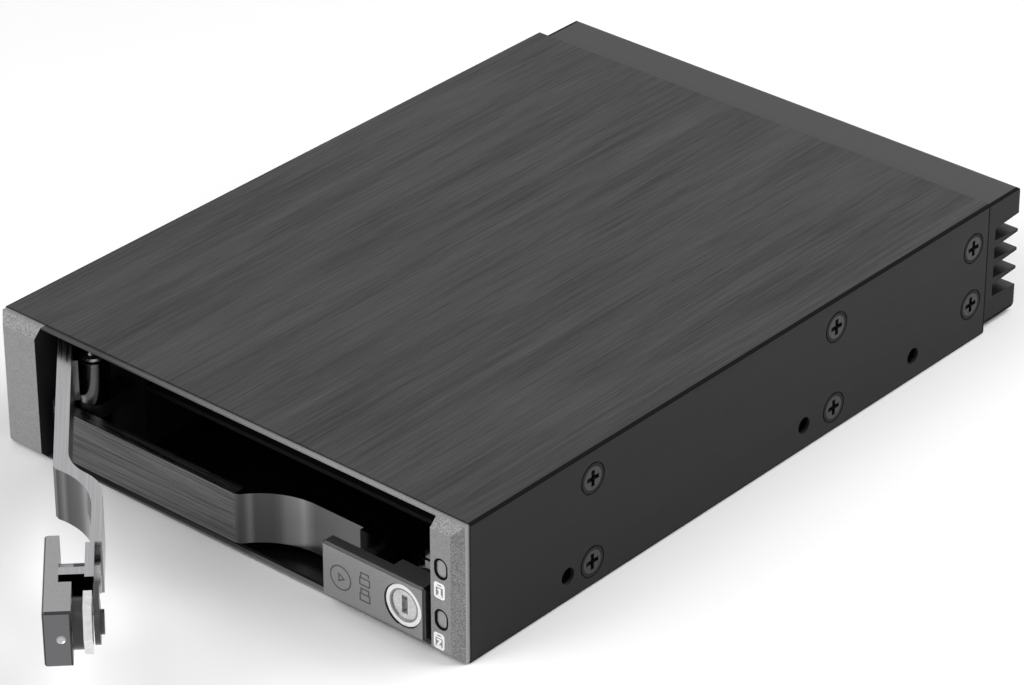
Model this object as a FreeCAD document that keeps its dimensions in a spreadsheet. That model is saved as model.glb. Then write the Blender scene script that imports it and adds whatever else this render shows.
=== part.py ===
import FreeCAD, Part
import Sketcher
import math
import os

# Rack that holds two small drives, one above the other, in one 3.5 inch bay.
# X runs to the right, Y to the rear and Z up. The origin is the middle of the sleeve's bottom face.
# Lengths are in millimetres. Heights are taken from that bottom face, and depths from the sleeve's
# front edge, unless a line says otherwise.

SHEET_NAME = "Dims"

DIMENSIONS = {
    # Aluminium sleeve
    "sleeve_width": 101.6,
    "sleeve_height": 25.4,
    "sleeve_length": 133.4,
    "sleeve_wall": 1.2,
    "sleeve_edge": 0.5,
    # Gap of a piece that is fixed inside another one
    "fit_gap": 0.05,
    # Gap of a turning or sliding piece on its shaft or in its bore
    "running_gap": 0.05,
    # Gap between faces that pass each other
    "moving_gap": 0.3,
    # Threaded holes for the computer's own drive bay, along each side
    "mount_hole_radius": 1.5,
    "mount_hole_height": 4.75,
    "mount_hole_front": 22.7,
    "mount_hole_spacing": 60.0,
    "mount_hole_last_spacing": 30.0,
    "mount_screw_room": 2.0,
    "mount_screw_depth": 5.0,
    # Countersunk screws along each side
    "screw_radius": 1.45,
    "screw_head_radius": 2.6,
    "screw_ring": 0.25,
    "screw_ring_depth": 0.25,
    "screw_length": 5.5,
    "guide_screw_front": 28.6,
    "guide_screw_rear": 90.7,
    "guide_screw_above": 4.6,
    "guide_screw_below": 5.4,
    "block_screw_inset": 4.4,
    "block_screw_above": 7.7,
    "block_screw_below": 6.7,
    "recess_width": 0.8,
    "recess_span": 2.9,
    "recess_sunk": 0.9,
    # Finned end block
    "block_inset": 1.0,
    "block_overhang": 10.2,
    "block_plug": 9.4,
    "block_edge": 0.8,
    "slot_count": 4,
    "slots_drop": 0.41,
    "slot_pitch": 3.66,
    "slot_depth": 6.8,
    "slot_floor": 2.3,
    "slot_mouth": 3.1,
    "window_width": 52.0,
    "window_inset": 5.6,
    # Moulded bezel
    "bezel_inset": 0.3,
    "bezel_base": 0.95,
    "bezel_chamfer": 1.6,
    "bezel_rim": 0.35,
    "mouth_left_inset": 9.3,
    "mouth_right_inset": 6.0,
    "left_plug": 6.2,
    "right_plug": 3.0,
    # Light pipes: an oval lens in front and a round rod that runs back to the board
    "lens_inset": 3.9,
    "lens_width": 2.4,
    "lens_height": 3.4,
    "lens_depth": 0.9,
    "lens_sunk": 0.3,
    "lens_gap": 0.2,
    "lens_below_middle": 5.05,
    "lens_above_middle": 4.15,
    "pipe_inset": 2.9,
    "pipe_radius": 0.9,
    "pipe_room": 0.25,
    # Hinge of the levers
    "pivot_inset": 16.8,
    "pivot_depth": 3.2,
    "pin_radius": 1.0,
    "pin_end": 1.3,
    "clip_radius": 2.2,
    "clip_thickness": 0.5,
    "ear_radius": 2.4,
    # Levers, as seen from above with the door shut: along from the pivot, and before it
    "lever_inset": 2.55,
    "lever_gap": 0.9,
    "upper_opening": 45.0,
    "arm_lift": 0.5,
    "bar_front": 5.6,
    "bar_thickness": 2.3,
    "nose_radius": 3.0,
    "nose_start": 3.0,
    "bend_run": 11.2,
    "bend_edge": 0.9,
    "bend_edge_drop": 0.45,
    "inner_bend_run": 13.0,
    "inner_bend_lag": 3.3,
    "recess_run": 7.6,
    "recess_depth": 6.1,
    "recess_thickness": 1.7,
    "foot_inset": 2.5,
    "foot_step": 0.8,
    "foot_thickness": 1.4,
    "foot_gap": 1.2,
    "rib_inset": 2.8,
    "rib_thickness": 2.0,
    "barrel_radius": 2.65,
    "barrel_step": 2.25,
    "neck_left": 2.4,
    "neck_right": 1.0,
    # Handle at the lever's free end
    "handle_gap": 0.8,
    "handle_length": 21.4,
    "handle_front": 6.5,
    "handle_thickness": 2.3,
    "handle_edge": 0.5,
    "housing_length": 8.2,
    "housing_depth": 4.3,
    "tube_radius": 4.0,
    "tube_length": 1.7,
    "boss_inset": 5.0,
    "boss_radius": 2.3,
    "handle_screw_radius": 1.2,
    "handle_screw_length": 6.0,
    "handle_screw_head": 2.4,
    "handle_screw_head_height": 0.8,
    # Cam lock
    "lock_inset": 4.4,
    "lock_radius": 3.25,
    "lock_flange_radius": 3.65,
    "lock_flange": 0.9,
    "lock_sunk": 0.25,
    "lock_seat_gap": 0.2,
    "nut_flats": 8.2,
    "nut_thickness": 1.3,
    "core_radius": 2.6,
    "core_sunk": 0.25,
    "key_width": 3.2,
    "key_height": 1.2,
    "key_depth": 2.5,
    "stem_radius": 1.2,
    "cam_thickness": 0.85,
    "cam_hub": 3.4,
    "cam_overhang": 0.85,
    "cam_width": 4.2,
    "cam_screw_radius": 1.9,
    "cam_screw_height": 0.6,
    "cam_screw_slot": 0.5,
    "cam_screw_slot_depth": 0.3,
    # Sprung plungers that keep the levers shut
    "plunger_radius": 0.7,
    "plunger_reach": 1.05,
    "plunger_travel": 0.35,
    "plunger_inside": 1.6,
    "plunger_forward": 0.6,
    "dimple_depth": 0.35,
    # Guides, and the sheet between the two bays
    "bay_left_inset": 20.5,
    "bay_right_inset": 10.9,
    "left_guide_front": 10.8,
    "right_guide_front": 6.0,
    "guide_board_gap": 4.4,
    "guide_wall": 2.0,
    "guide_flange": 1.5,
    "guide_pad": 4.0,
    "guide_rib": 1.6,
    "guide_front_cells": 3,
    "guide_rear_cells": 1,
    "divider_thickness": 0.8,
    "divider_groove": 1.0,
    "divider_front": 11.2,
    # Backplane
    "board_thickness": 1.6,
    "board_margin": 0.6,
    "board_screw_side": 7.5,
    "board_screw_inset": 4.6,
    "board_screw_head": 2.5,
    "board_screw_head_height": 1.5,
    "board_screw_length": 6.0,
    "socket_width": 43.0,
    "socket_height": 5.6,
    "socket_depth": 8.4,
    "socket_slot_height": 2.4,
    "socket_slot_depth": 6.0,
    "socket_signal_width": 10.6,
    "socket_power_width": 25.6,
    "socket_bridge": 2.4,
    "lamp_width": 2.0,
    "lamp_height": 0.8,
    # Ports in the end block's window
    "port_depth": 9.0,
    "port_height": 5.0,
    "port_slot_depth": 7.0,
    "port_slot_height": 2.2,
    "port_key_width": 1.4,
    "port_key_height": 1.2,
    "data_port_width": 15.0,
    "data_port_slot_width": 10.6,
    "data_port_left": 14.0,
    "data_port_spacing": 5.8,
    "power_port_width": 25.0,
    "power_port_slot_width": 20.8,
    "power_port_right": 10.0,
}

doc = FreeCAD.newDocument("MobileRack")
sheet = doc.addObject("Spreadsheet::Sheet", SHEET_NAME)
for row, (alias, number) in enumerate(DIMENSIONS.items(), start=1):
    sheet.set(f"A{row}", alias)
    sheet.set(f"B{row}", str(number))
    sheet.setAlias(f"B{row}", alias)
doc.recompute()


class Size:
    # A length that knows its present value and the sheet expression that gives it.
    def __init__(self, value, text):
        self.value = value
        self.text = text

    def __add__(self, other):
        other = as_size(other)
        return Size(self.value + other.value, f"({self.text} + {other.text})")

    def __sub__(self, other):
        other = as_size(other)
        return Size(self.value - other.value, f"({self.text} - {other.text})")

    def __mul__(self, factor):
        factor = as_size(factor)
        return Size(self.value * factor.value, f"({self.text} * {factor.text})")

    def __truediv__(self, factor):
        return Size(self.value / factor, f"({self.text} / {factor})")

    def __neg__(self):
        return Size(-self.value, f"(0 - {self.text})")


def as_size(item):
    return item if isinstance(item, Size) else Size(item, f"({item})")


def root(size):
    return Size(math.sqrt(size.value), f"sqrt({size.text})")


def one_over(size):
    return Size(1.0 / size.value, f"(1 / {size.text})")


def dim(alias):
    return Size(float(sheet.get(alias)), f"{SHEET_NAME}.{alias}")


ORIGIN = Size(0.0, "0")
# How near two coordinates have to be for an edge to count as lying there
NEAR = 1e-4
# Width over the flats of a hexagon, divided by the radius of its corners
FLATS_TO_CORNERS = math.sqrt(3)


def bind(item, path, size):
    item.setExpression(path, as_size(size).text)


def place(item, x, y, z):
    for axis, size in zip("xyz", (x, y, z)):
        bind(item, f"Placement.Base.{axis}", size)


# Plain solids

def box(name, x, y, z):
    solid = doc.addObject("Part::Box", name)
    for side, (low, high) in zip(("Length", "Width", "Height"), (x, y, z)):
        bind(solid, side, high - low)
    place(solid, x[0], y[0], z[0])
    return solid


TURN_TO_AXIS = {
    "x": FreeCAD.Rotation(FreeCAD.Vector(0, 1, 0), 90),
    "y": FreeCAD.Rotation(FreeCAD.Vector(1, 0, 0), -90),
    "z": FreeCAD.Rotation(),
}


def lie_along(solid, axis, start, across):
    # start is the low end along the axis, and across the two other coordinates in X, Y, Z order
    solid.Placement = FreeCAD.Placement(FreeCAD.Vector(), TURN_TO_AXIS[axis])
    spot = list(across)
    spot.insert("xyz".index(axis), start)
    place(solid, *spot)


def rod(name, axis, span, across, radius):
    solid = doc.addObject("Part::Cylinder", name)
    bind(solid, "Radius", radius)
    bind(solid, "Height", span[1] - span[0])
    lie_along(solid, axis, span[0], across)
    return solid


def cone(name, axis, span, across, low_radius, high_radius):
    solid = doc.addObject("Part::Cone", name)
    bind(solid, "Radius1", low_radius)
    bind(solid, "Radius2", high_radius)
    bind(solid, "Height", span[1] - span[0])
    lie_along(solid, axis, span[0], across)
    return solid


def ball(name, spot, radius):
    solid = doc.addObject("Part::Sphere", name)
    bind(solid, "Radius", radius)
    place(solid, *spot)
    return solid


def join(name, pieces):
    joined = doc.addObject("Part::MultiFuse", name)
    joined.Shapes = pieces
    joined.Refine = True
    return joined


def cut(name, base, tools):
    result = doc.addObject("Part::Cut", name)
    result.Base = base
    result.Tool = tools[0] if len(tools) == 1 else join(f"{name}_tools", tools)
    return result


def group(name, pieces):
    together = doc.addObject("Part::Compound", name)
    together.Links = pieces
    return together


# Bodies with sketches

def new_body(name):
    return doc.addObject("PartDesign::Body", f"{name}_body")


def sketch_on(body, name, role, offset):
    sketch = body.newObject("Sketcher::SketchObject", name)
    plane = [feature for feature in body.Origin.OriginFeatures if feature.Role == role][0]
    sketch.AttachmentSupport = [(plane, "")]
    sketch.MapMode = "FlatFace"
    bind(sketch, "AttachmentOffset.Base.z", offset)
    return sketch


def fix_point(sketch, edge, point, spot):
    for kind, size in zip(("DistanceX", "DistanceY"), spot):
        index = sketch.addConstraint(Sketcher.Constraint(kind, -1, 1, edge, point, size.value))
        bind(sketch, f"Constraints[{index}]", size)


def fix_radius(sketch, edge, radius):
    index = sketch.addConstraint(Sketcher.Constraint("Radius", edge, radius.value))
    bind(sketch, f"Constraints[{index}]", radius)


def fix_centre_height(sketch, edge, height):
    # A half circle between two level ends is settled by its centre, which is level with them
    index = sketch.addConstraint(Sketcher.Constraint("DistanceY", -1, 1, edge, 3, height.value))
    bind(sketch, f"Constraints[{index}]", height)


def arc_between(start, end, radius, turn):
    # turn is 1 for an arc that runs anticlockwise from start to end and -1 for a clockwise one
    chord = end - start
    middle = (start + end) * 0.5
    rise = math.sqrt(max(radius ** 2 - (chord.Length / 2) ** 2, 0.0))
    centre = middle + FreeCAD.Vector(-chord.y, chord.x, 0).normalize() * rise * turn
    first, last = (start, end) if turn > 0 else (end, start)
    angles = [math.atan2(spot.y - centre.y, spot.x - centre.x) for spot in (first, last)]
    return Part.ArcOfCircle(Part.Circle(centre, FreeCAD.Vector(0, 0, 1), radius), *angles)


def outline(sketch, corners, arcs=None):
    # arcs maps a side, by the number of its first corner, to its radius and its turn
    arcs = arcs or {}
    first_edge = sketch.GeometryCount
    spots = [FreeCAD.Vector(x.value, y.value, 0) for x, y in corners]
    ends = []
    for side, start in enumerate(spots):
        end = spots[(side + 1) % len(spots)]
        if side in arcs:
            radius, turn = arcs[side]
            edge = sketch.addGeometry(arc_between(start, end, radius.value, turn), False)
            ends.append((edge, 1, 2) if turn > 0 else (edge, 2, 1))
        else:
            edge = sketch.addGeometry(Part.LineSegment(start, end), False)
            ends.append((edge, 1, 2))
    for side, (edge, start_point, end_point) in enumerate(ends):
        following = ends[(side + 1) % len(ends)]
        sketch.addConstraint(
            Sketcher.Constraint("Coincident", edge, end_point, following[0], following[1]))
    for (edge, start_point, end_point), corner in zip(ends, corners):
        fix_point(sketch, edge, start_point, corner)
    for side, (radius, turn) in arcs.items():
        chord = (spots[(side + 1) % len(spots)] - spots[side]).Length
        if abs(chord - 2 * radius.value) < NEAR:
            fix_centre_height(sketch, first_edge + side, corners[side][1])
        else:
            fix_radius(sketch, first_edge + side, radius)


def rectangle(sketch, x, y):
    outline(sketch, [(x[0], y[0]), (x[1], y[0]), (x[1], y[1]), (x[0], y[1])])


def circle(sketch, spot, radius):
    centre = FreeCAD.Vector(spot[0].value, spot[1].value, 0)
    edge = sketch.addGeometry(Part.Circle(centre, FreeCAD.Vector(0, 0, 1), radius.value), False)
    fix_point(sketch, edge, 3, spot)
    fix_radius(sketch, edge, radius)


def upright_slot(sketch, middle, width, height):
    x, y = middle
    flat = (height - width) / 2
    left, right = x - width / 2, x + width / 2
    corners = [(left, y - flat), (right, y - flat), (right, y + flat), (left, y + flat)]
    half = width / 2
    outline(sketch, corners, {0: (half, 1), 2: (half, 1)})


def pad(body, name, sketch, length, symmetric=False):
    feature = body.newObject("PartDesign::Pad", name)
    feature.Profile = sketch
    bind(feature, "Length", length)
    if symmetric:
        feature.SideType = "Symmetric"
    body.Tip = feature
    return feature


def pocket_through(body, name, sketch):
    feature = body.newObject("PartDesign::Pocket", name)
    feature.Profile = sketch
    feature.Type = "ThroughAll"
    feature.SideType = "Symmetric"
    body.Tip = feature
    return feature


def dress_edges(body, name, kind, size, wanted):
    # Rounds or chamfers those edges of the body's last feature that wanted accepts
    doc.recompute()
    base = body.Tip
    names = [f"Edge{n}" for n, edge in enumerate(base.Shape.Edges, start=1) if wanted(edge)]
    feature = body.newObject(f"PartDesign::{kind}", name)
    feature.Base = (base, names)
    bind(feature, "Radius" if kind == "Fillet" else "Size", size)
    body.Tip = feature
    return feature


def lies_at(edge, axis, value):
    return all(abs(getattr(vertex.Point, axis) - value) < NEAR for vertex in edge.Vertexes)


def runs_along(edge, axis):
    box_of_edge = edge.BoundBox
    spans = {"x": box_of_edge.XLength, "y": box_of_edge.YLength, "z": box_of_edge.ZLength}
    return all(span < NEAR for name, span in spans.items() if name != axis)


# Places that several pieces share

half_width = dim("sleeve_width") / 2
front = -(dim("sleeve_length") / 2)
rear = dim("sleeve_length") / 2
inner_side = half_width - dim("sleeve_wall")
inner_low = dim("sleeve_wall")
inner_high = dim("sleeve_height") - dim("sleeve_wall")
fitted_side = inner_side - dim("fit_gap")
fitted_low = inner_low + dim("fit_gap")
fitted_high = inner_high - dim("fit_gap")

screw_hole = dim("screw_radius") + dim("fit_gap")
mount_depths = [dim("mount_hole_front")]
mount_depths.append(mount_depths[0] + dim("mount_hole_spacing"))
mount_depths.append(mount_depths[1] + dim("mount_hole_last_spacing"))
guide_screw_heights = [dim("guide_screw_above"), dim("sleeve_height") - dim("guide_screw_below")]
guide_screw_spots = [
    (front + dim(depth), height)
    for depth in ("guide_screw_front", "guide_screw_rear")
    for height in guide_screw_heights
]
block_screw_heights = [dim("block_screw_above"), dim("sleeve_height") - dim("block_screw_below")]
block_screw_spots = [(rear - dim("block_screw_inset"), height) for height in block_screw_heights]
side_screw_spots = guide_screw_spots + block_screw_spots

middle_height = dim("sleeve_height") / 2
mouth_left = dim("mouth_left_inset") - half_width
mouth_right = half_width - dim("mouth_right_inset")
bay_left = dim("bay_left_inset") - half_width
bay_right = half_width - dim("bay_right_inset")
lens_x = half_width - dim("lens_inset")
pipe_x = half_width - dim("pipe_inset")
window_low = dim("window_inset")
window_high = dim("sleeve_height") - dim("window_inset")
board_back = rear - dim("block_plug")
board_front = board_back - dim("board_thickness")
guide_rear = board_front - dim("guide_board_gap")

LEVELS = ("lower", "upper")
lever_height = middle_height - dim("lever_gap") / 2 - dim("lever_inset")
barrel_height = lever_height - dim("barrel_step")
lever_bottom = {"lower": dim("lever_inset"), "upper": middle_height + dim("lever_gap") / 2}
lever_middle = {level: lever_bottom[level] + lever_height / 2 for level in LEVELS}
pivot_x = dim("pivot_inset") - half_width
pivot_y = front + dim("pivot_depth")
lens_height_at = {
    "lower": middle_height - dim("lens_below_middle"),
    "upper": middle_height + dim("lens_above_middle"),
}

sub_parts = []


def keep(item, label):
    item.Label = label
    sub_parts.append(item)
    return item


# Sleeve: a brushed aluminium tube, open at both ends

def make_sleeve():
    body = new_body("sleeve")
    outside = sketch_on(body, "sleeve_outside", "XZ_Plane", ORIGIN)
    rectangle(outside, (-half_width, half_width), (ORIGIN, dim("sleeve_height")))
    pad(body, "sleeve_length", outside, dim("sleeve_length"), symmetric=True)
    dress_edges(body, "sleeve_edges", "Fillet", dim("sleeve_edge"), lambda edge: runs_along(edge, "y"))
    inside = sketch_on(body, "sleeve_inside", "XZ_Plane", ORIGIN)
    rectangle(inside, (-inner_side, inner_side), (inner_low, inner_high))
    pocket_through(body, "sleeve_cavity", inside)
    holes = sketch_on(body, "sleeve_holes", "YZ_Plane", ORIGIN)
    for depth in mount_depths:
        circle(holes, (front + depth, dim("mount_hole_height")), dim("mount_hole_radius"))
    for spot in side_screw_spots:
        circle(holes, spot, screw_hole)
    pocket_through(body, "sleeve_side_holes", holes)
    sink_depth = dim("screw_head_radius") - dim("screw_radius")
    sinks = []
    for number, spot in enumerate(side_screw_spots):
        right = (half_width - sink_depth, half_width)
        left = (-half_width, sink_depth - half_width)
        narrow, wide = screw_hole, dim("screw_head_radius") + dim("fit_gap")
        sinks.append(cone(f"sleeve_sink_right_{number}", "x", right, spot, narrow, wide))
        sinks.append(cone(f"sleeve_sink_left_{number}", "x", left, spot, wide, narrow))
        ring = dim("screw_head_radius") + dim("screw_ring")
        right = (half_width - dim("screw_ring_depth"), half_width)
        left = (-half_width, dim("screw_ring_depth") - half_width)
        sinks.append(rod(f"sleeve_ring_right_{number}", "x", right, spot, ring))
        sinks.append(rod(f"sleeve_ring_left_{number}", "x", left, spot, ring))
    keep(cut("case_sleeve", body, sinks), "case_sleeve")


def cross_recess(name, span, spot):
    y, z = spot
    half, reach = dim("recess_width") / 2, dim("recess_span") / 2
    return [
        box(f"{name}_level", span, (y - reach, y + reach), (z - half, z + half)),
        box(f"{name}_upright", span, (y - half, y + half), (z - reach, z + reach)),
    ]


def make_side_screws():
    screws = []
    sink_depth = dim("screw_head_radius") - dim("screw_radius")
    for number, spot in enumerate(side_screw_spots):
        tip = half_width - dim("screw_length")
        shank, head = dim("screw_radius"), dim("screw_head_radius")
        right = [
            rod(f"screw_right_shank_{number}", "x", (tip, half_width - sink_depth), spot, shank),
            cone(f"screw_right_head_{number}", "x", (half_width - sink_depth, half_width), spot,
                 shank, head),
        ]
        left = [
            rod(f"screw_left_shank_{number}", "x", (sink_depth - half_width, -tip), spot, shank),
            cone(f"screw_left_head_{number}", "x", (-half_width, sink_depth - half_width), spot,
                 head, shank),
        ]
        sunk = dim("recess_sunk")
        for side, pieces, span in (
            ("right", right, (half_width - sunk, half_width)),
            ("left", left, (-half_width, sunk - half_width)),
        ):
            solid = join(f"screw_{side}_solid_{number}", pieces)
            recess = cross_recess(f"screw_{side}_recess_{number}", span, spot)
            screws.append(cut(f"screw_{side}_{number}", solid, recess))
    keep(group("case_screws", screws), "case_screws")


# End block: an extruded comb of fins that plugs the sleeve's rear end

def make_end_block():
    body = new_body("end_block")
    low, high = dim("block_inset"), dim("sleeve_height") - dim("block_inset")
    back = rear + dim("block_overhang")
    side = sketch_on(body, "block_side", "YZ_Plane", ORIGIN)
    corners = [(rear, low), (back, low)]
    lowest = middle_height - dim("slots_drop") - dim("slot_pitch") * (dim("slot_count") - 1) / 2
    for number in range(round(dim("slot_count").value)):
        middle = lowest + dim("slot_pitch") * number
        mouth, floor = dim("slot_mouth") / 2, dim("slot_floor") / 2
        bottom = back - dim("slot_depth")
        corners += [(back, middle - mouth), (bottom, middle - floor)]
        corners += [(bottom, middle + floor), (back, middle + mouth)]
    corners += [(back, high), (rear, high)]
    outline(side, corners)
    pad(body, "block_fins", side, (half_width - dim("block_inset")) * 2, symmetric=True)

    def outer_edge(edge):
        at_corner = lies_at(edge, "z", low.value) or lies_at(edge, "z", high.value)
        return at_corner and runs_along(edge, "x") and lies_at(edge, "y", back.value)

    dress_edges(body, "block_edges", "Fillet", dim("block_edge"), outer_edge)
    plug = sketch_on(body, "block_plug", "XZ_Plane", -rear)
    rectangle(plug, (-fitted_side, fitted_side), (fitted_low, fitted_high))
    pad(body, "block_plug_length", plug, dim("block_plug"))
    window = sketch_on(body, "block_window", "XZ_Plane", ORIGIN)
    half_window = dim("window_width") / 2
    rectangle(window, (-half_window, half_window), (window_low, window_high))
    pocket_through(body, "block_window_cut", window)
    depth = dim("screw_length") + dim("fit_gap")
    holes = []
    for number, spot in enumerate(block_screw_spots):
        right = (half_width - depth, half_width)
        left = (-half_width, depth - half_width)
        holes.append(rod(f"block_hole_right_{number}", "x", right, spot, screw_hole))
        holes.append(rod(f"block_hole_left_{number}", "x", left, spot, screw_hole))
    hole_end = board_front + dim("board_screw_length") + dim("fit_gap")
    for number, spot in enumerate(board_screw_spots()):
        holes.append(rod(f"block_board_hole_{number}", "y", (board_back, hole_end), spot, screw_hole))
    keep(cut("rear_end_block", body, holes), "rear_end_block")


def board_screw_spots():
    inset = dim("board_screw_inset")
    across = fitted_side - dim("board_screw_side")
    low, high = fitted_low + inset, fitted_high - inset
    return [(-across, low), (across, low), (-across, high), (across, high)]


# Bezel: a thin frame with a chamfered block at each side that reaches into the sleeve

def make_bezel():
    body = new_body("bezel")
    side = half_width - dim("bezel_inset")
    low, high = dim("bezel_inset"), dim("sleeve_height") - dim("bezel_inset")
    face = front - dim("bezel_base") - dim("bezel_chamfer")
    plate = sketch_on(body, "bezel_plate", "XZ_Plane", -front)
    rectangle(plate, (-side, side), (low, high))
    pad(body, "bezel_depth", plate, front - face)
    dress_edges(body, "bezel_bevel", "Chamfer", dim("bezel_chamfer"),
                lambda edge: lies_at(edge, "y", face.value))
    mouth = sketch_on(body, "bezel_mouth", "XZ_Plane", ORIGIN)
    rectangle(mouth, (mouth_left, mouth_right), (low + dim("bezel_rim"), high - dim("bezel_rim")))
    pocket_through(body, "bezel_mouth_cut", mouth)
    for name, span, depth in (
        ("left", (-fitted_side, mouth_left), dim("left_plug")),
        ("right", (mouth_right, fitted_side), dim("right_plug")),
    ):
        plug = sketch_on(body, f"bezel_{name}_plug", "XZ_Plane", -(front + depth))
        rectangle(plug, span, (fitted_low, fitted_high))
        pad(body, f"bezel_{name}_block", plug, depth)
    relief = (face, front - dim("bezel_base"))
    holes = [box("bezel_mouth_relief", (mouth_left, mouth_right), relief, (low, high))]
    for level in LEVELS:
        height = lens_height_at[level]
        lens_back = face + dim("lens_depth") + dim("fit_gap")
        lens_hole = new_body(f"bezel_lens_{level}")
        slot = sketch_on(lens_hole, f"bezel_lens_slot_{level}", "XZ_Plane", -lens_back)
        room = dim("lens_gap") * 2
        upright_slot(slot, (lens_x, height), dim("lens_width") + room, dim("lens_height") + room)
        pad(lens_hole, f"bezel_lens_cut_{level}", slot, lens_back - face)
        holes.append(lens_hole)
        spot = (pipe_x, height)
        pipe_span = (face + dim("lens_depth"), front + dim("right_plug"))
        holes.append(rod(f"bezel_pipe_{level}", "y", pipe_span, spot, dim("pipe_radius") + dim("fit_gap")))
        holes.append(rod(f"bezel_plunger_{level}", "x", plunger_pocket(), plunger_spot(level),
                         dim("plunger_radius") + dim("running_gap")))
    keep(cut("front_bezel", body, holes), "front_bezel")


def plunger_spot(level):
    return (front - dim("plunger_forward"), lever_middle[level])


def plunger_pocket():
    inside = dim("plunger_inside") + dim("plunger_travel") + dim("running_gap")
    return (mouth_right, mouth_right + inside)


def make_plunger(level):
    radius = dim("plunger_radius")
    tip = mouth_right - dim("plunger_reach")
    shank = rod(f"{level}_plunger_shank", "x", (tip + radius, mouth_right + dim("plunger_inside")),
                plunger_spot(level), radius)
    nose = ball(f"{level}_plunger_nose", (tip + radius, *plunger_spot(level)), radius)
    keep(join(f"{level}_catch_plunger", [shank, nose]), f"{level}_catch_plunger")


def make_light_pipe(level):
    height = lens_height_at[level]
    face = front - dim("bezel_base") - dim("bezel_chamfer")
    body = new_body(f"{level}_light_pipe")
    lens = sketch_on(body, f"{level}_lens", "XZ_Plane", -(face + dim("lens_depth")))
    upright_slot(lens, (lens_x, height), dim("lens_width"), dim("lens_height"))
    pad(body, f"{level}_lens_length", lens, dim("lens_depth") - dim("lens_sunk"))
    pipe_end = board_front - dim("lamp_height") - dim("moving_gap")
    pipe = sketch_on(body, f"{level}_pipe", "XZ_Plane", -pipe_end)
    circle(pipe, (pipe_x, height), dim("pipe_radius"))
    pad(body, f"{level}_pipe_length", pipe, pipe_end - face - dim("lens_depth"))
    keep(body, f"{level}_light_pipe")


# Guides: ribbed mouldings, screwed to the sleeve's sides, that the drives slide between

def guide_pockets(name, across):
    around = dim("guide_pad")
    screw_rows = [front + dim("guide_screw_front"), front + dim("guide_screw_rear")]
    mounts = [front + depth for depth in mount_depths]
    rows = [
        ("front", screw_rows[0] + around, mounts[1] - around),
        ("rear", screw_rows[1] + around, mounts[2] - around),
    ]
    heights = (fitted_low + dim("guide_flange"), fitted_high - dim("guide_flange"))
    pockets = []
    for row, start, end in rows:
        count = dim(f"guide_{row}_cells")
        pitch = (end - start + dim("guide_rib")) * one_over(count)
        for number in range(round(count.value)):
            low = start + pitch * number
            span = (low, low + pitch - dim("guide_rib"))
            pockets.append(box(f"{name}_{row}_pocket_{number}", across, span, heights))
    return pockets


def guide_holes(name, sign):
    holes = []

    def inward(depth):
        inner, outer = half_width - depth, half_width
        return (inner, outer) if sign > 0 else (-outer, -inner)

    for number, spot in enumerate(guide_screw_spots):
        span = inward(dim("screw_length") + dim("fit_gap"))
        holes.append(rod(f"{name}_screw_hole_{number}", "x", span, spot, screw_hole))
    for number, depth in enumerate(mount_depths):
        spot = (front + depth, dim("mount_hole_height"))
        span = inward(dim("mount_screw_depth"))
        holes.append(rod(f"{name}_mount_room_{number}", "x", span, spot, dim("mount_screw_room")))
    return holes


def divider_groove(name, across):
    room = dim("divider_thickness") / 2 + dim("fit_gap")
    span = (front + dim("divider_front") - dim("fit_gap"), guide_rear)
    return box(f"{name}_groove", across, span, (middle_height - room, middle_height + room))


def make_left_guide():
    span = (front + dim("left_guide_front"), guide_rear)
    rail = box("left_guide_rail", (-fitted_side, bay_left), span, (fitted_low, fitted_high))
    ears = []
    gap = dim("moving_gap")
    ear_heights = {
        "low": (fitted_low, lever_bottom["lower"] - gap),
        "middle": (lever_bottom["lower"] + barrel_height + gap, lever_bottom["upper"] - gap),
    }
    for name, heights in ear_heights.items():
        across = (pivot_x - dim("ear_radius"), pivot_x + dim("ear_radius"))
        ears.append(box(f"left_guide_ear_{name}", across, (pivot_y, span[0]), heights))
        ears.append(rod(f"left_guide_eye_{name}", "z", heights, (pivot_x, pivot_y), dim("ear_radius")))
    solid = join("left_guide_solid", [rail] + ears)
    pin_hole = rod("left_guide_pin_hole", "z", (fitted_low, ear_heights["middle"][1]), (pivot_x, pivot_y),
                   dim("pin_radius") + dim("fit_gap"))
    tools = guide_pockets("left_guide", (-fitted_side, bay_left - dim("guide_wall")))
    tools += guide_holes("left_guide", -1)
    groove_end = bay_left - dim("divider_groove") - dim("fit_gap")
    tools += [pin_hole, divider_groove("left_guide", (groove_end, bay_left))]
    keep(cut("left_guide", solid, tools), "left_guide")


def make_right_guide():
    span = (front + dim("right_guide_front"), guide_rear)
    rail = box("right_guide_rail", (bay_right, fitted_side), span, (fitted_low, fitted_high))
    tools = guide_pockets("right_guide", (bay_right + dim("guide_wall"), fitted_side))
    tools += guide_holes("right_guide", 1)
    groove_end = bay_right + dim("divider_groove") + dim("fit_gap")
    tools.append(divider_groove("right_guide", (bay_right, groove_end)))
    room = dim("pipe_radius") + dim("pipe_room")
    for level in LEVELS:
        heights = (lens_height_at[level] - room, lens_height_at[level] + room)
        across = (pipe_x - room, fitted_side)
        tools.append(box(f"right_guide_channel_{level}", across, span, heights))
    keep(cut("right_guide", rail, tools), "right_guide")


def make_divider():
    half = dim("divider_thickness") / 2
    across = (bay_left - dim("divider_groove"), bay_right + dim("divider_groove"))
    heights = (middle_height - half, middle_height + half)
    keep(box("bay_divider", across, (front + dim("divider_front"), guide_rear), heights), "bay_divider")


# Hinge: one pin for both levers, with a clip that keeps the upper lever on it

def pin_top():
    return lever_bottom["upper"] + barrel_height + dim("pin_end")


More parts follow.
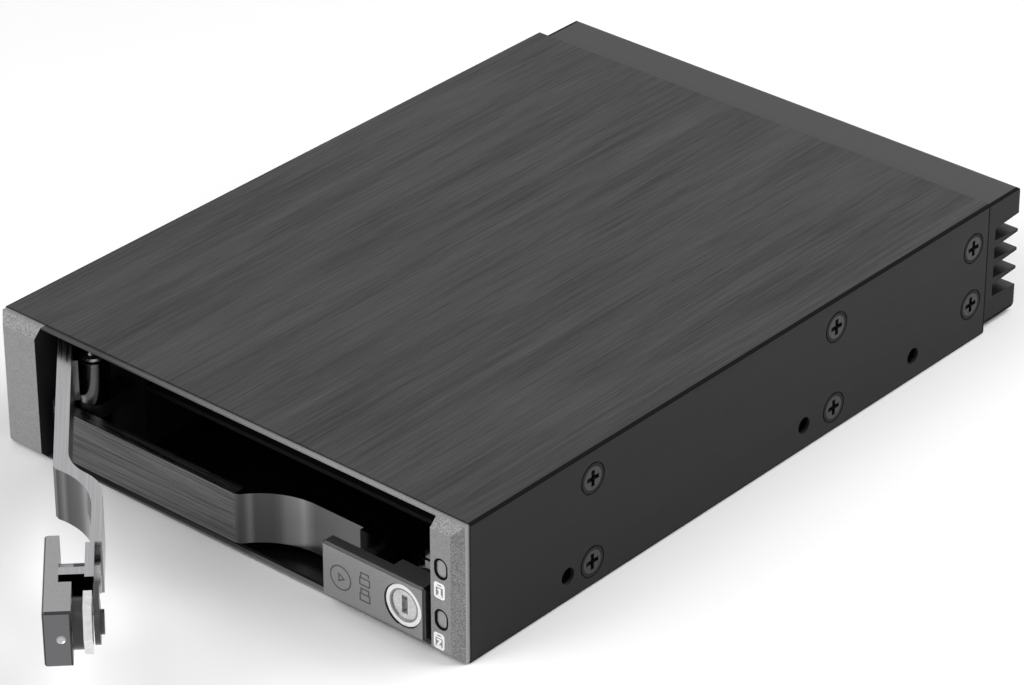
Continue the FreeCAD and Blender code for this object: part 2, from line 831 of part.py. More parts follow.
def make_hinge_pin():
    dome = dim("pin_radius") / 2
    shaft = rod("hinge_pin_shaft", "z", (fitted_low, pin_top() - dome), (pivot_x, pivot_y),
                dim("pin_radius"))
    tip = cone("hinge_pin_tip", "z", (pin_top() - dome, pin_top()), (pivot_x, pivot_y),
               dim("pin_radius"), dim("pin_radius") / 2)
    keep(join("hinge_pin", [shaft, tip]), "hinge_pin")


def make_hinge_clip():
    low = lever_bottom["upper"] + barrel_height + dim("moving_gap")
    span = (low, low + dim("clip_thickness"))
    disc = rod("hinge_clip_disc", "z", span, (pivot_x, pivot_y), dim("clip_radius"))
    eye = rod("hinge_clip_eye", "z", span, (pivot_x, pivot_y), dim("pin_radius") + dim("fit_gap"))
    keep(cut("hinge_clip", disc, [eye]), "hinge_clip")


# Levers: drawn with the door shut, from the pivot, and then turned to how far they stand open

def hang_on_lever(item, level, label):
    turn = dim("upper_opening") if level == "upper" else ORIGIN
    axis = FreeCAD.Vector(0, 0, -1)
    item.Placement = FreeCAD.Placement(FreeCAD.Vector(), FreeCAD.Rotation(axis, 1.0))
    bind(item, "Placement.Rotation.Angle", turn * Size(1.0, "1 deg"))
    place(item, pivot_x, pivot_y, lever_bottom[level])
    keep(item, label)


handle_end = mouth_right - dim("handle_gap") - pivot_x
handle_start = handle_end - dim("handle_length")
housing_start = handle_end - dim("housing_length")
boss_offset = handle_start + dim("boss_inset")
foot_start = handle_start + dim("foot_inset")
foot_end = housing_start - dim("foot_gap")
rib_start = foot_end - dim("rib_inset")
foot_front = dim("recess_depth") - dim("bar_front") - dim("foot_step")
foot_back = foot_front + dim("foot_thickness")
handle_back = dim("handle_thickness") - dim("handle_front")
housing_back = dim("housing_depth") - dim("handle_front")
tube_back = housing_back + dim("tube_length")
nut_back = tube_back + dim("nut_thickness")
cam_front = nut_back + dim("moving_gap")
cam_back = cam_front + dim("cam_thickness")
handle_mid = lever_height / 2
lock_face = dim("lock_sunk") - dim("handle_front")
lock_spot = (handle_end - dim("lock_inset"), handle_mid)
boss_spot = (boss_offset, handle_mid)


def arm_outline(sketch):
    bar_front = -dim("bar_front")
    bar_back = bar_front + dim("bar_thickness")
    recess_front = bar_front + dim("recess_depth")
    recess_back = recess_front + dim("recess_thickness")
    nose = dim("nose_radius")
    nose_drop = nose - dim("bar_thickness")
    nose_end = -dim("nose_start") - root(nose * nose - nose_drop * nose_drop)
    rib_end = rib_start + dim("rib_thickness")
    bend_end = handle_start - dim("recess_run")
    bend_start = bend_end - dim("bend_run")
    inner_bend_end = bend_end - dim("inner_bend_lag")
    inner_bend_start = inner_bend_end - dim("inner_bend_run")
    half_run = dim("inner_bend_run") / 2
    half_rise = (recess_back - bar_back) / 2
    inner_radius = bend_radius(half_run, half_rise)
    outer_radius = bend_radius(dim("bend_run"), dim("recess_depth") - dim("bend_edge_drop"))
    corners = [
        (-dim("nose_start"), bar_front),
        (bend_start - dim("bend_edge"), bar_front),
        (bend_start, bar_front + dim("bend_edge_drop")),
        (bend_end, recess_front),
        (foot_start, recess_front),
        (foot_start, foot_front),
        (rib_start, foot_front),
        (rib_start, handle_back),
        (rib_end, handle_back),
        (rib_end, foot_front),
        (foot_end, foot_front),
        (foot_end, foot_back),
        (foot_start, foot_back),
        (foot_start, recess_back),
        (inner_bend_end, recess_back),
        (inner_bend_start + half_run, bar_back + half_rise),
        (inner_bend_start, bar_back),
        (nose_end, bar_back),
    ]
    arcs = {
        2: (outer_radius, -1),
        14: (inner_radius, 1),
        15: (inner_radius, -1),
        17: (nose, 1),
    }
    outline(sketch, corners, arcs)


def bend_radius(run, rise):
    # Radius of an arc that leaves a straight line and is this far from it at the end of the run
    return (run * run + rise * rise) / 2 * one_over(rise)


def make_lever_arm(level):
    body = new_body(f"{level}_lever_arm")
    plan = sketch_on(body, f"{level}_arm_plan", "XY_Plane", dim("arm_lift"))
    arm_outline(plan)
    pad(body, f"{level}_arm_height", plan, lever_height - dim("arm_lift"))
    neck = sketch_on(body, f"{level}_neck_plan", "XY_Plane", ORIGIN)
    neck_front = dim("bar_thickness") / 2 - dim("bar_front")
    rectangle(neck, (-dim("neck_left"), dim("neck_right")), (neck_front, ORIGIN))
    pad(body, f"{level}_neck_height", neck, barrel_height)
    barrel = sketch_on(body, f"{level}_barrel_plan", "XY_Plane", ORIGIN)
    circle(barrel, (ORIGIN, ORIGIN), dim("barrel_radius"))
    pad(body, f"{level}_barrel_height", barrel, barrel_height)
    bore = sketch_on(body, f"{level}_bore_plan", "XY_Plane", ORIGIN)
    circle(bore, (ORIGIN, ORIGIN), dim("pin_radius") + dim("running_gap"))
    pocket_through(body, f"{level}_bore", bore)
    screw_room = rod(f"{level}_arm_screw_hole", "y", (foot_front, foot_back), boss_spot,
                     dim("handle_screw_radius") + dim("fit_gap"))
    hang_on_lever(cut(f"{level}_lever_arm", body, [screw_room]), level, f"{level}_lever_arm")


def make_handle(level):
    body = new_body(f"{level}_handle")
    plan = sketch_on(body, f"{level}_handle_plan", "XY_Plane", ORIGIN)
    face = -dim("handle_front")
    outline(plan, [
        (handle_start, face),
        (handle_end, face),
        (handle_end, housing_back),
        (housing_start, housing_back),
        (housing_start, handle_back),
        (handle_start, handle_back),
    ])
    pad(body, f"{level}_handle_height", plan, lever_height)
    dress_edges(body, f"{level}_handle_edges", "Fillet", dim("handle_edge"),
                lambda edge: lies_at(edge, "y", face.value) or lies_at(edge, "x", handle_end.value)
                or lies_at(edge, "x", handle_start.value))
    boss = rod(f"{level}_handle_boss", "y", (handle_back, foot_front), boss_spot, dim("boss_radius"))
    tube = rod(f"{level}_handle_tube", "y", (handle_back, tube_back), lock_spot, dim("tube_radius"))
    solid = join(f"{level}_handle_solid", [body, boss, tube])
    screw_tip = foot_back - dim("handle_screw_length") - dim("fit_gap")
    nose_room = dim("plunger_radius") + dim("running_gap") * 2
    nose_middle = handle_end - dim("dimple_depth") + nose_room
    dimple_spot = (nose_middle, plunger_spot(level)[0] - pivot_y, handle_mid)
    tools = [
        rod(f"{level}_handle_bore", "y", (face, tube_back), lock_spot,
            dim("lock_radius") + dim("fit_gap")),
        rod(f"{level}_handle_lock_seat", "y", (face, lock_face + dim("lock_flange")), lock_spot,
            dim("lock_flange_radius") + dim("lock_seat_gap")),
        rod(f"{level}_handle_screw_hole", "y", (screw_tip, foot_front), boss_spot,
            dim("handle_screw_radius") + dim("fit_gap")),
        ball(f"{level}_handle_dimple", dimple_spot, nose_room),
    ]
    hang_on_lever(cut(f"{level}_handle", solid, tools), level, f"{level}_handle")


def make_handle_screw(level):
    shank_span = (foot_back - dim("handle_screw_length"), foot_back)
    shank = rod(f"{level}_handle_screw_shank", "y", shank_span, boss_spot, dim("handle_screw_radius"))
    head = rod(f"{level}_handle_screw_head", "y", (foot_back, foot_back + dim("handle_screw_head_height")),
               boss_spot, dim("handle_screw_head"))
    hang_on_lever(join(f"{level}_handle_screw", [shank, head]), level, f"{level}_handle_screw")


# Cam lock: a barrel and its nut are fixed in the handle, and a core turns the cam behind them

def make_lock_barrel(level):
    flange = rod(f"{level}_lock_flange", "y", (lock_face, lock_face + dim("lock_flange")), lock_spot,
                 dim("lock_flange_radius"))
    barrel = rod(f"{level}_lock_body", "y", (lock_face, nut_back), lock_spot, dim("lock_radius"))
    bore = rod(f"{level}_lock_bore", "y", (lock_face, nut_back), lock_spot,
               dim("core_radius") + dim("running_gap"))
    solid = join(f"{level}_lock_solid", [flange, barrel])
    hang_on_lever(cut(f"{level}_lock_barrel", solid, [bore]), level, f"{level}_lock_barrel")


def make_lock_nut(level):
    hexagon = doc.addObject("Part::Prism", f"{level}_lock_hexagon")
    hexagon.Polygon = 6
    bind(hexagon, "Circumradius", dim("nut_flats") / FLATS_TO_CORNERS)
    bind(hexagon, "Height", dim("nut_thickness"))
    lie_along(hexagon, "y", tube_back, lock_spot)
    bore = rod(f"{level}_lock_nut_bore", "y", (tube_back, nut_back), lock_spot,
               dim("lock_radius") + dim("fit_gap"))
    hang_on_lever(cut(f"{level}_lock_nut", hexagon, [bore]), level, f"{level}_lock_nut")


def make_lock_core(level):
    face = lock_face + dim("core_sunk")
    plug = rod(f"{level}_core_plug", "y", (face, nut_back), lock_spot, dim("core_radius"))
    stem = rod(f"{level}_core_stem", "y", (nut_back, cam_back), lock_spot, dim("stem_radius"))
    x, z = lock_spot
    half_across, half_height = dim("key_height") / 2, dim("key_width") / 2
    keyway = box(f"{level}_keyway", (x - half_across, x + half_across), (face, face + dim("key_depth")),
                 (z - half_height, z + half_height))
    solid = join(f"{level}_core_solid", [plug, stem])
    hang_on_lever(cut(f"{level}_lock_core", solid, [keyway]), level, f"{level}_lock_core")


def make_lock_cam(level):
    span = (cam_front, cam_back)
    hub = rod(f"{level}_cam_hub", "y", span, lock_spot, dim("cam_hub"))
    half = dim("cam_width") / 2
    x, z = lock_spot
    tongue = box(f"{level}_cam_tongue", (x - half, x + half), span, (z, lever_height + dim("cam_overhang")))
    eye = rod(f"{level}_cam_eye", "y", span, lock_spot, dim("stem_radius") + dim("fit_gap"))
    solid = join(f"{level}_cam_solid", [hub, tongue])
    hang_on_lever(cut(f"{level}_lock_cam", solid, [eye]), level, f"{level}_lock_cam")


def make_cam_screw(level):
    span = (cam_back, cam_back + dim("cam_screw_height"))
    head = rod(f"{level}_cam_screw_head", "y", span, lock_spot, dim("cam_screw_radius"))
    x, z = lock_spot
    half, reach = dim("cam_screw_slot") / 2, dim("cam_screw_radius")
    slot_depths = (span[1] - dim("cam_screw_slot_depth"), span[1])
    slot = box(f"{level}_cam_screw_slot", (x - half, x + half), slot_depths, (z - reach, z + reach))
    hang_on_lever(cut(f"{level}_cam_screw", head, [slot]), level, f"{level}_cam_screw")


# Backplane: the board on the end block's front face, with what is soldered to it

def make_board():
    margin = dim("board_margin")
    across = (margin - fitted_side, fitted_side - margin)
    heights = (fitted_low + margin, fitted_high - margin)
    plate = box("board_plate", across, (board_front, board_back), heights)
    holes = [
        rod(f"board_hole_{number}", "y", (board_front, board_back), spot, screw_hole)
        for number, spot in enumerate(board_screw_spots())
    ]
    keep(cut("backplane_board", plate, holes), "backplane_board")


def make_board_screws():
    screws = []
    for number, spot in enumerate(board_screw_spots()):
        tip = board_front + dim("board_screw_length")
        shank = rod(f"board_screw_shank_{number}", "y", (board_front, tip), spot, dim("screw_radius"))
        head_span = (board_front - dim("board_screw_head_height"), board_front)
        head = rod(f"board_screw_head_{number}", "y", head_span, spot, dim("board_screw_head"))
        screws.append(join(f"board_screw_{number}", [shank, head]))
    keep(group("board_screws", screws), "board_screws")


def make_drive_socket(level):
    middle = (bay_left + bay_right) / 2
    height = lever_middle[level]
    half_width_of_socket = dim("socket_width") / 2
    half_height = dim("socket_height") / 2
    mouth = board_front - dim("socket_depth")
    shell = box(f"{level}_socket_shell", (middle - half_width_of_socket, middle + half_width_of_socket),
                (mouth, board_front), (height - half_height, height + half_height))
    half_slot = dim("socket_slot_height") / 2
    slot_heights = (height - half_slot, height + half_slot)
    slot_depths = (mouth, mouth + dim("socket_slot_depth"))
    slots_width = dim("socket_signal_width") + dim("socket_bridge") + dim("socket_power_width")
    left = middle - slots_width / 2
    signal = (left, left + dim("socket_signal_width"))
    power = (signal[1] + dim("socket_bridge"), left + slots_width)
    slots = [
        box(f"{level}_socket_signal", signal, slot_depths, slot_heights),
        box(f"{level}_socket_power", power, slot_depths, slot_heights),
    ]
    keep(cut(f"{level}_drive_socket", shell, slots), f"{level}_drive_socket")


def make_status_lamp(level):
    half = dim("lamp_width") / 2
    x, z = pipe_x, lens_height_at[level]
    depths = (board_front - dim("lamp_height"), board_front)
    lamp = box(f"{level}_status_lamp", (x - half, x + half), depths, (z - half, z + half))
    keep(lamp, f"{level}_status_lamp")


def make_port(label, middle, height, width, slot_width):
    mouth = board_back + dim("port_depth")
    half, half_height = width / 2, dim("port_height") / 2
    shell = box(f"{label}_shell", (middle - half, middle + half), (board_back, mouth),
                (height - half_height, height + half_height))
    depths = (mouth - dim("port_slot_depth"), mouth)
    half_slot = slot_width / 2
    slot_low = height - dim("port_slot_height") / 2
    slot_high = height + dim("port_slot_height") / 2
    slot = box(f"{label}_slot", (middle - half_slot, middle + half_slot), depths, (slot_low, slot_high))
    key = box(f"{label}_key", (middle - half_slot, middle - half_slot + dim("port_key_width")), depths,
              (slot_low - dim("port_key_height"), slot_low))
    keep(cut(label, shell, [slot, key]), label)


def make_ports():
    middle = (window_low + window_high) / 2
    for level, side in (("lower", -1), ("upper", 1)):
        height = middle + dim("data_port_spacing") / 2 * side
        make_port(f"{level}_data_port", -dim("data_port_left"), height, dim("data_port_width"),
                  dim("data_port_slot_width"))
    make_port("power_port", dim("power_port_right"), middle, dim("power_port_width"),
              dim("power_port_slot_width"))


make_sleeve()
make_side_screws()
make_end_block()
make_bezel()
make_left_guide()
make_right_guide()
make_divider()
make_hinge_pin()
make_hinge_clip()
make_board()
make_board_screws()
make_ports()
for level in LEVELS:
    make_light_pipe(level)
    make_status_lamp(level)
    make_drive_socket(level)
    make_plunger(level)
    make_lever_arm(level)
    make_handle(level)
    make_handle_screw(level)
    make_lock_barrel(level)
    make_lock_nut(level)
    make_lock_core(level)
    make_lock_cam(level)
    make_cam_screw(level)
doc.recompute()

failed = [item.Name for item in doc.Objects if "Invalid" in item.State or "Error" in item.State]
bad = [item.Label for item in sub_parts if item.Shape.isNull() or not item.Shape.isValid()]
if failed or bad:
    raise RuntimeError(f"failed features: {failed}; bad shapes: {bad}")

os.makedirs("parts", exist_ok=True)
for item in sub_parts:
    item.Shape.exportStep(f"parts/{item.Label}.step")
    print(f"{item.Label}: {item.Shape.Volume:.1f} mm3, {len(item.Shape.Solids)} solids")
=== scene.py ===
import bmesh
import bpy
import math
from mathutils import Matrix, Vector


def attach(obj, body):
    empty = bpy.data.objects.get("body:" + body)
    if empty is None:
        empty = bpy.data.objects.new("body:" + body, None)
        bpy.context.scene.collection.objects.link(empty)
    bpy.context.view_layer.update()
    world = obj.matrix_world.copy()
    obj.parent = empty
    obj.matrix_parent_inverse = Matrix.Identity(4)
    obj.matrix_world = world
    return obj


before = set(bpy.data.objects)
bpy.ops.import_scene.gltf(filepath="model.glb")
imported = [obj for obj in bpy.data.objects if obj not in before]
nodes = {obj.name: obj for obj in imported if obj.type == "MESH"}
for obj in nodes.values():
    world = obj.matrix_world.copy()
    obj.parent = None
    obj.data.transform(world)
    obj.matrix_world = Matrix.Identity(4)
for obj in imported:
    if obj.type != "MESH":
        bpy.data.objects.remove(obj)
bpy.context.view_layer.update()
mm = 0.001
midHeight = 12.7  # of the sleeve, in mm
squareOn = 0.97  # a face is square to an axis from this part of its normal on
cornerSteps = 20  # round a full turn of a drawn frame's corners
mixColour = {"data_type": "RGBA"}
noiseSpread = {"From Min": 0.3, "From Max": 0.7}  # where most values of a noise lie
bumpDepth = 0.05 * mm
# Levers: the pivot and the bottoms are in mm, the turns from shut are in degrees
lever = {
    "pivot": (-34.0, -63.5), "bottom": {"lower": 2.55, "upper": 13.15}, "turn": {"lower": 0.0, "upper": 45.0},
}
print("stage: packed rack loaded,", len(nodes), "nodes")


def linear(hexColour):  # sRGB hex to the linear values that sockets take
    parts = [int(hexColour[i:i + 2], 16) / 255 for i in (1, 3, 5)]
    return [p / 12.92 if p <= 0.04045 else ((p + 0.055) / 1.055) ** 2.4 for p in parts] + [1.0]


def addNode(tree, kind, settings, inputs, output=0):  # gives back the output that the next node reads
    node = tree.nodes.new(kind)
    for name, value in settings.items():
        setattr(node, name, value)
    for name, value in inputs.items():
        if isinstance(value, bpy.types.NodeSocket):
            tree.links.new(value, node.inputs[name])
        else:
            node.inputs[name].default_value = linear(value) if isinstance(value, str) else value
    return node.outputs[output]


def newFinish(name):
    finish = bpy.data.materials.new(name)
    finish.use_nodes = True
    return finish, finish.node_tree, finish.node_tree.nodes["Principled BSDF"].inputs


# Case screws: every head lies in a countersunk ring, dark with painted shade. Their places along and up the sides
# are in mm.
screwLook = {
    "places": [(-38.1, 4.6), (-38.1, 20.0), (24.0, 4.6), (24.0, 20.0), (62.3, 7.7), (62.3, 18.7)],
    "dark": "#0e0e0f", "light": "#1b1b1c", "rimShade": "#020202", "face": 2.05, "ring": 2.66, "grain": 0.5,
    "roughLow": 0.35, "roughHigh": 0.5, "ior": 1.5,
}


def screwDistance(tree, place):  # how far a point on a side is from the middle of the nearest screw
    flat = addNode(tree, "ShaderNodeVectorMath", {"operation": "MULTIPLY"}, {0: place, 1: (0, 1, 1)})
    nearest = 1.0
    for y, z in screwLook["places"]:
        distance = addNode(tree, "ShaderNodeVectorMath", {"operation": "DISTANCE"}, {
            0: flat, 1: (0, y * mm, z * mm)}, "Value")
        nearest = addNode(tree, "ShaderNodeMath", {"operation": "MINIMUM"}, {0: nearest, 1: distance})
    return nearest


def blackenedScrews():  # oxide-blackened steel, a little lighter than the sleeve, black at the rim
    look = screwLook
    finish, tree, sockets = newFinish("blackOxideSteel")
    place = addNode(tree, "ShaderNodeTexCoord", {}, {}, "Object")
    mottle = addNode(tree, "ShaderNodeTexNoise", {}, {
        "Vector": place, "Scale": 1 / (look["grain"] * mm), "Detail": 2.0})
    colour = addNode(tree, "ShaderNodeMix", mixColour, {0: mottle, 6: look["dark"], 7: look["light"]}, 2)
    # Painted shade: the rim of each head is painted black, as the shade in its countersunk ring.
    isShadedRim = addNode(tree, "ShaderNodeMath", {"operation": "GREATER_THAN"}, {
        0: screwDistance(tree, place), 1: look["face"] * mm})
    colour = addNode(tree, "ShaderNodeMix", mixColour, {0: isShadedRim, 6: colour, 7: look["rimShade"]}, 2)
    tree.links.new(colour, sockets["Base Color"])
    rough = addNode(tree, "ShaderNodeMapRange", {}, {
        "Value": mottle, "To Min": look["roughLow"], "To Max": look["roughHigh"]})
    rough = addNode(tree, "ShaderNodeMath", {"operation": "MAXIMUM"}, {0: rough, 1: isShadedRim})
    tree.links.new(rough, sockets["Roughness"])
    sockets["IOR"].default_value = look["ior"]
    return finish


def nearLongEdge(tree, place, half):  # 1 where a point lies outside both the half width and the half height
    width, height = half
    x = addNode(tree, "ShaderNodeSeparateXYZ", {}, {"Vector": place}, "X")
    z = addNode(tree, "ShaderNodeSeparateXYZ", {}, {"Vector": place}, "Z")
    inWidth = addNode(tree, "ShaderNodeMath", {"operation": "COMPARE"}, {0: x, 1: 0.0, 2: width * mm})
    inHeight = addNode(tree, "ShaderNodeMath", {"operation": "COMPARE"}, {
        0: z, 1: midHeight * mm, 2: height * mm})
    isFlat = addNode(tree, "ShaderNodeMath", {"operation": "MAXIMUM"}, {0: inWidth, 1: inHeight})
    return addNode(tree, "ShaderNodeMath", {"operation": "SUBTRACT"}, {0: 1.0, 1: isFlat})


# Sleeve: extruded aluminium, brushed along its depth and dyed black. The strokes catch the light as long
# thin lines. Real ones are about 0.05 mm wide, too fine to show, so they are drawn 0.22 mm wide.
sleeveLook = {
    "dark": "#030303", "light": "#414142", "side": "#0b0b0c", "edge": "#020202", "inside": "#020202",
    "strokeWidth": 0.22, "strokeLength": 16.0, "strokeShare": 0.7,
    "patchWidth": 4.0, "patchLength": 45.0, "patchShare": 0.3,
    "roughLow": 0.4, "roughHigh": 0.52, "gloss": 0.2, "bump": 0.1, "insideHalf": (50.2, 12.2),
    "edgeHalf": (50.3, 12.2), "rear": 66.35,
}


def brushedSleeve():
    look = sleeveLook
    finish, tree, sockets = newFinish("brushedBlackAluminium")
    place = addNode(tree, "ShaderNodeTexCoord", {}, {}, "Object")
    across, along = 1 / (look["strokeWidth"] * mm), 1 / (look["strokeLength"] * mm)
    fine = addNode(tree, "ShaderNodeMapping", {}, {"Vector": place, "Scale": (across, along, across)})
    strokes = addNode(tree, "ShaderNodeTexNoise", {}, {
        "Vector": fine, "Scale": 1.0, "Detail": 4.0, "Roughness": 0.75})
    across, along = 1 / (look["patchWidth"] * mm), 1 / (look["patchLength"] * mm)
    wide = addNode(tree, "ShaderNodeMapping", {}, {"Vector": place, "Scale": (across, along, across)})
    patches = addNode(tree, "ShaderNodeTexNoise", {}, {"Vector": wide, "Scale": 1.0, "Detail": 2.0})
    strokes = addNode(tree, "ShaderNodeMapRange", {}, {
        "Value": strokes, **noiseSpread, "To Min": 0.0, "To Max": look["strokeShare"]})
    patches = addNode(tree, "ShaderNodeMapRange", {}, {
        "Value": patches, **noiseSpread, "To Min": 0.0, "To Max": look["patchShare"]})
    both = addNode(tree, "ShaderNodeMath", {"operation": "ADD"}, {0: strokes, 1: patches})
    top = addNode(tree, "ShaderNodeMix", mixColour, {0: both, 6: look["dark"], 7: look["light"]}, 2)
    # The top and bottom are brushed and the sides are plain. The long edges, the sides' rear edges and the
    # rings round the screws are dark lines of painted shade, and the inside is painted black as painted shade.
    normal = addNode(tree, "ShaderNodeTexCoord", {}, {}, "Normal")
    sideways = addNode(tree, "ShaderNodeVectorMath", {"operation": "DOT_PRODUCT"}, {
        0: normal, 1: (1, 0, 0)}, "Value")
    sideways = addNode(tree, "ShaderNodeMath", {"operation": "ABSOLUTE"}, {0: sideways})
    isSide = addNode(tree, "ShaderNodeMath", {"operation": "GREATER_THAN"}, {0: sideways, 1: squareOn})
    faces = addNode(tree, "ShaderNodeMix", mixColour, {0: isSide, 6: top, 7: look["side"]}, 2)
    x = addNode(tree, "ShaderNodeSeparateXYZ", {}, {"Vector": place}, "X")
    y = addNode(tree, "ShaderNodeSeparateXYZ", {}, {"Vector": place}, "Y")
    z = addNode(tree, "ShaderNodeSeparateXYZ", {}, {"Vector": place}, "Z")
    # Painted shade: dark lines along the long edges, at the sides' rear edges and round the screw heads
    isShadedEdge = nearLongEdge(tree, place, look["edgeHalf"])
    isShadedRear = addNode(tree, "ShaderNodeMath", {"operation": "GREATER_THAN"}, {0: y, 1: look["rear"] * mm})
    isShadedRing = addNode(tree, "ShaderNodeMath", {"operation": "LESS_THAN"}, {
        0: screwDistance(tree, place), 1: screwLook["ring"] * mm})
    isShadedRing = addNode(tree, "ShaderNodeMath", {"operation": "MULTIPLY"}, {0: isShadedRing, 1: sideways})
    isShadedRear = addNode(tree, "ShaderNodeMath", {"operation": "MULTIPLY"}, {0: isShadedRear, 1: sideways})
    isShadedEdge = addNode(tree, "ShaderNodeMath", {"operation": "MAXIMUM"}, {0: isShadedEdge, 1: isShadedRear})
    isShadedEdge = addNode(tree, "ShaderNodeMath", {"operation": "MAXIMUM"}, {0: isShadedEdge, 1: isShadedRing})
    faces = addNode(tree, "ShaderNodeMix", mixColour, {0: isShadedEdge, 6: faces, 7: look["edge"]}, 2)
    # Painted shade: the inside of the sleeve is painted black
    halfWidth, halfHeight = look["insideHalf"]
    within = addNode(tree, "ShaderNodeMath", {"operation": "COMPARE"}, {0: x, 1: 0.0, 2: halfWidth * mm})
    between = addNode(tree, "ShaderNodeMath", {"operation": "COMPARE"}, {
        0: z, 1: midHeight * mm, 2: halfHeight * mm})
    isShadedInside = addNode(tree, "ShaderNodeMath", {"operation": "MULTIPLY"}, {0: within, 1: between})
    faces = addNode(tree, "ShaderNodeMix", mixColour, {0: isShadedInside, 6: faces, 7: look["inside"]}, 2)
    tree.links.new(faces, sockets["Base Color"])
    rough = addNode(tree, "ShaderNodeMapRange", {}, {
        "Value": both, "To Min": look["roughHigh"], "To Max": look["roughLow"]})
    rough = addNode(tree, "ShaderNodeMath", {"operation": "MAXIMUM"}, {0: rough, 1: isShadedEdge})
    tree.links.new(rough, sockets["Roughness"])
    bump = addNode(tree, "ShaderNodeBump", {}, {
        "Strength": look["bump"], "Distance": bumpDepth, "Height": both})
    tree.links.new(bump, sockets["Normal"])
    sockets["Specular IOR Level"].default_value = look["gloss"]
    return finish


# End block: extruded aluminium, blasted and anodised black, with faint die lines along its length. Its top is
# painted paler than its sides as painted light, with a dark line of painted shade along its edges. The cooling
# slots are painted black at their floors and lighter towards the tips of the fins, as painted shade.
blockLook = {
    "dark": "#0c0c0d", "light": "#151516", "top": "#3e3e3f", "paintedShade": "#010101",
    "lineWidth": 0.5, "lineLength": 70.0, "roughLow": 0.42, "roughHigh": 0.52, "gloss": 0.16,
    "slots": (72.6, 77.4), "slotHalf": 11.0, "slotSideways": 0.5, "edgeHalf": (49.35, 11.25),
}


def anodisedBlock():
    look = blockLook
    finish, tree, sockets = newFinish("blackAnodisedAluminium")
    place = addNode(tree, "ShaderNodeTexCoord", {}, {}, "Object")
    across, along = 1 / (look["lineWidth"] * mm), 1 / (look["lineLength"] * mm)
    fine = addNode(tree, "ShaderNodeMapping", {}, {"Vector": place, "Scale": (along, across, across)})
    lines = addNode(tree, "ShaderNodeTexNoise", {}, {"Vector": fine, "Scale": 1.0, "Detail": 3.0})
    colour = addNode(tree, "ShaderNodeMix", mixColour, {0: lines, 6: look["dark"], 7: look["light"]}, 2)
    normal = addNode(tree, "ShaderNodeTexCoord", {}, {}, "Normal")
    upward = addNode(tree, "ShaderNodeVectorMath", {"operation": "DOT_PRODUCT"}, {
        0: normal, 1: (0, 0, 1)}, "Value")
    # Painted light: the top is painted paler than the sides
    isLitTop = addNode(tree, "ShaderNodeMath", {"operation": "GREATER_THAN"}, {0: upward, 1: squareOn})
    colour = addNode(tree, "ShaderNodeMix", mixColour, {0: isLitTop, 6: colour, 7: look["top"]}, 2)
    sideways = addNode(tree, "ShaderNodeVectorMath", {"operation": "DOT_PRODUCT"}, {
        0: normal, 1: (1, 0, 0)}, "Value")
    # Painted shade: black at the floors of the slots and along the long edges, lighter towards the fin tips
    inward = addNode(tree, "ShaderNodeMath", {"operation": "COMPARE"}, {
        0: sideways, 1: 0.0, 2: look["slotSideways"]})
    y = addNode(tree, "ShaderNodeSeparateXYZ", {}, {"Vector": place}, "Y")
    z = addNode(tree, "ShaderNodeSeparateXYZ", {}, {"Vector": place}, "Z")
    between = addNode(tree, "ShaderNodeMath", {"operation": "COMPARE"}, {
        0: z, 1: midHeight * mm, 2: look["slotHalf"] * mm})
    root, tip = look["slots"]
    depth = addNode(tree, "ShaderNodeMapRange", {}, {
        "Value": y, "From Min": root * mm, "From Max": tip * mm, "To Min": 1.0, "To Max": 0.0})
    shade = addNode(tree, "ShaderNodeMath", {"operation": "MULTIPLY"}, {0: inward, 1: between})
    shade = addNode(tree, "ShaderNodeMath", {"operation": "MULTIPLY"}, {0: shade, 1: depth})
    isShadedEdge = nearLongEdge(tree, place, look["edgeHalf"])
    shade = addNode(tree, "ShaderNodeMath", {"operation": "MAXIMUM"}, {0: shade, 1: isShadedEdge})
    colour = addNode(tree, "ShaderNodeMix", mixColour, {0: shade, 6: colour, 7: look["paintedShade"]}, 2)
    tree.links.new(colour, sockets["Base Color"])
    rough = addNode(tree, "ShaderNodeMapRange", {}, {
        "Value": lines, "To Min": look["roughLow"], "To Max": look["roughHigh"]})
    rough = addNode(tree, "ShaderNodeMath", {"operation": "MAXIMUM"}, {0: rough, 1: shade})
    tree.links.new(rough, sockets["Roughness"])
    sockets["Specular IOR Level"].default_value = look["gloss"]
    return finish


# Bezel: moulded ABS with a spark-eroded grain of about 0.2 mm, whose points catch the light, most of all on
# the slanted faces. The outer sides are plain and pale with painted light, the faces towards the opening are
# plain and dark with painted shade, and painted shade darkens the rails over and under the opening towards the
# hinge.
bezelLook = {
    "dark": "#5a5a5a", "light": "#969696", "side": "#999999", "sideFrom": 0.9,
    "inward": "#0b0b0c", "inwardFrom": -0.3,
    "grain": 0.24, "slant": (-0.71, 0.25), "middle": 0.55, "flatGrain": 0.4,
    "rail": "#2a2a2a", "railMiddle": 1.65, "railHalf": 43.05, "railFade": (-28.0, 22.0),
    "roughLow": 0.45, "roughHigh": 0.7, "bump": 0.6, "ior": 1.53,
}


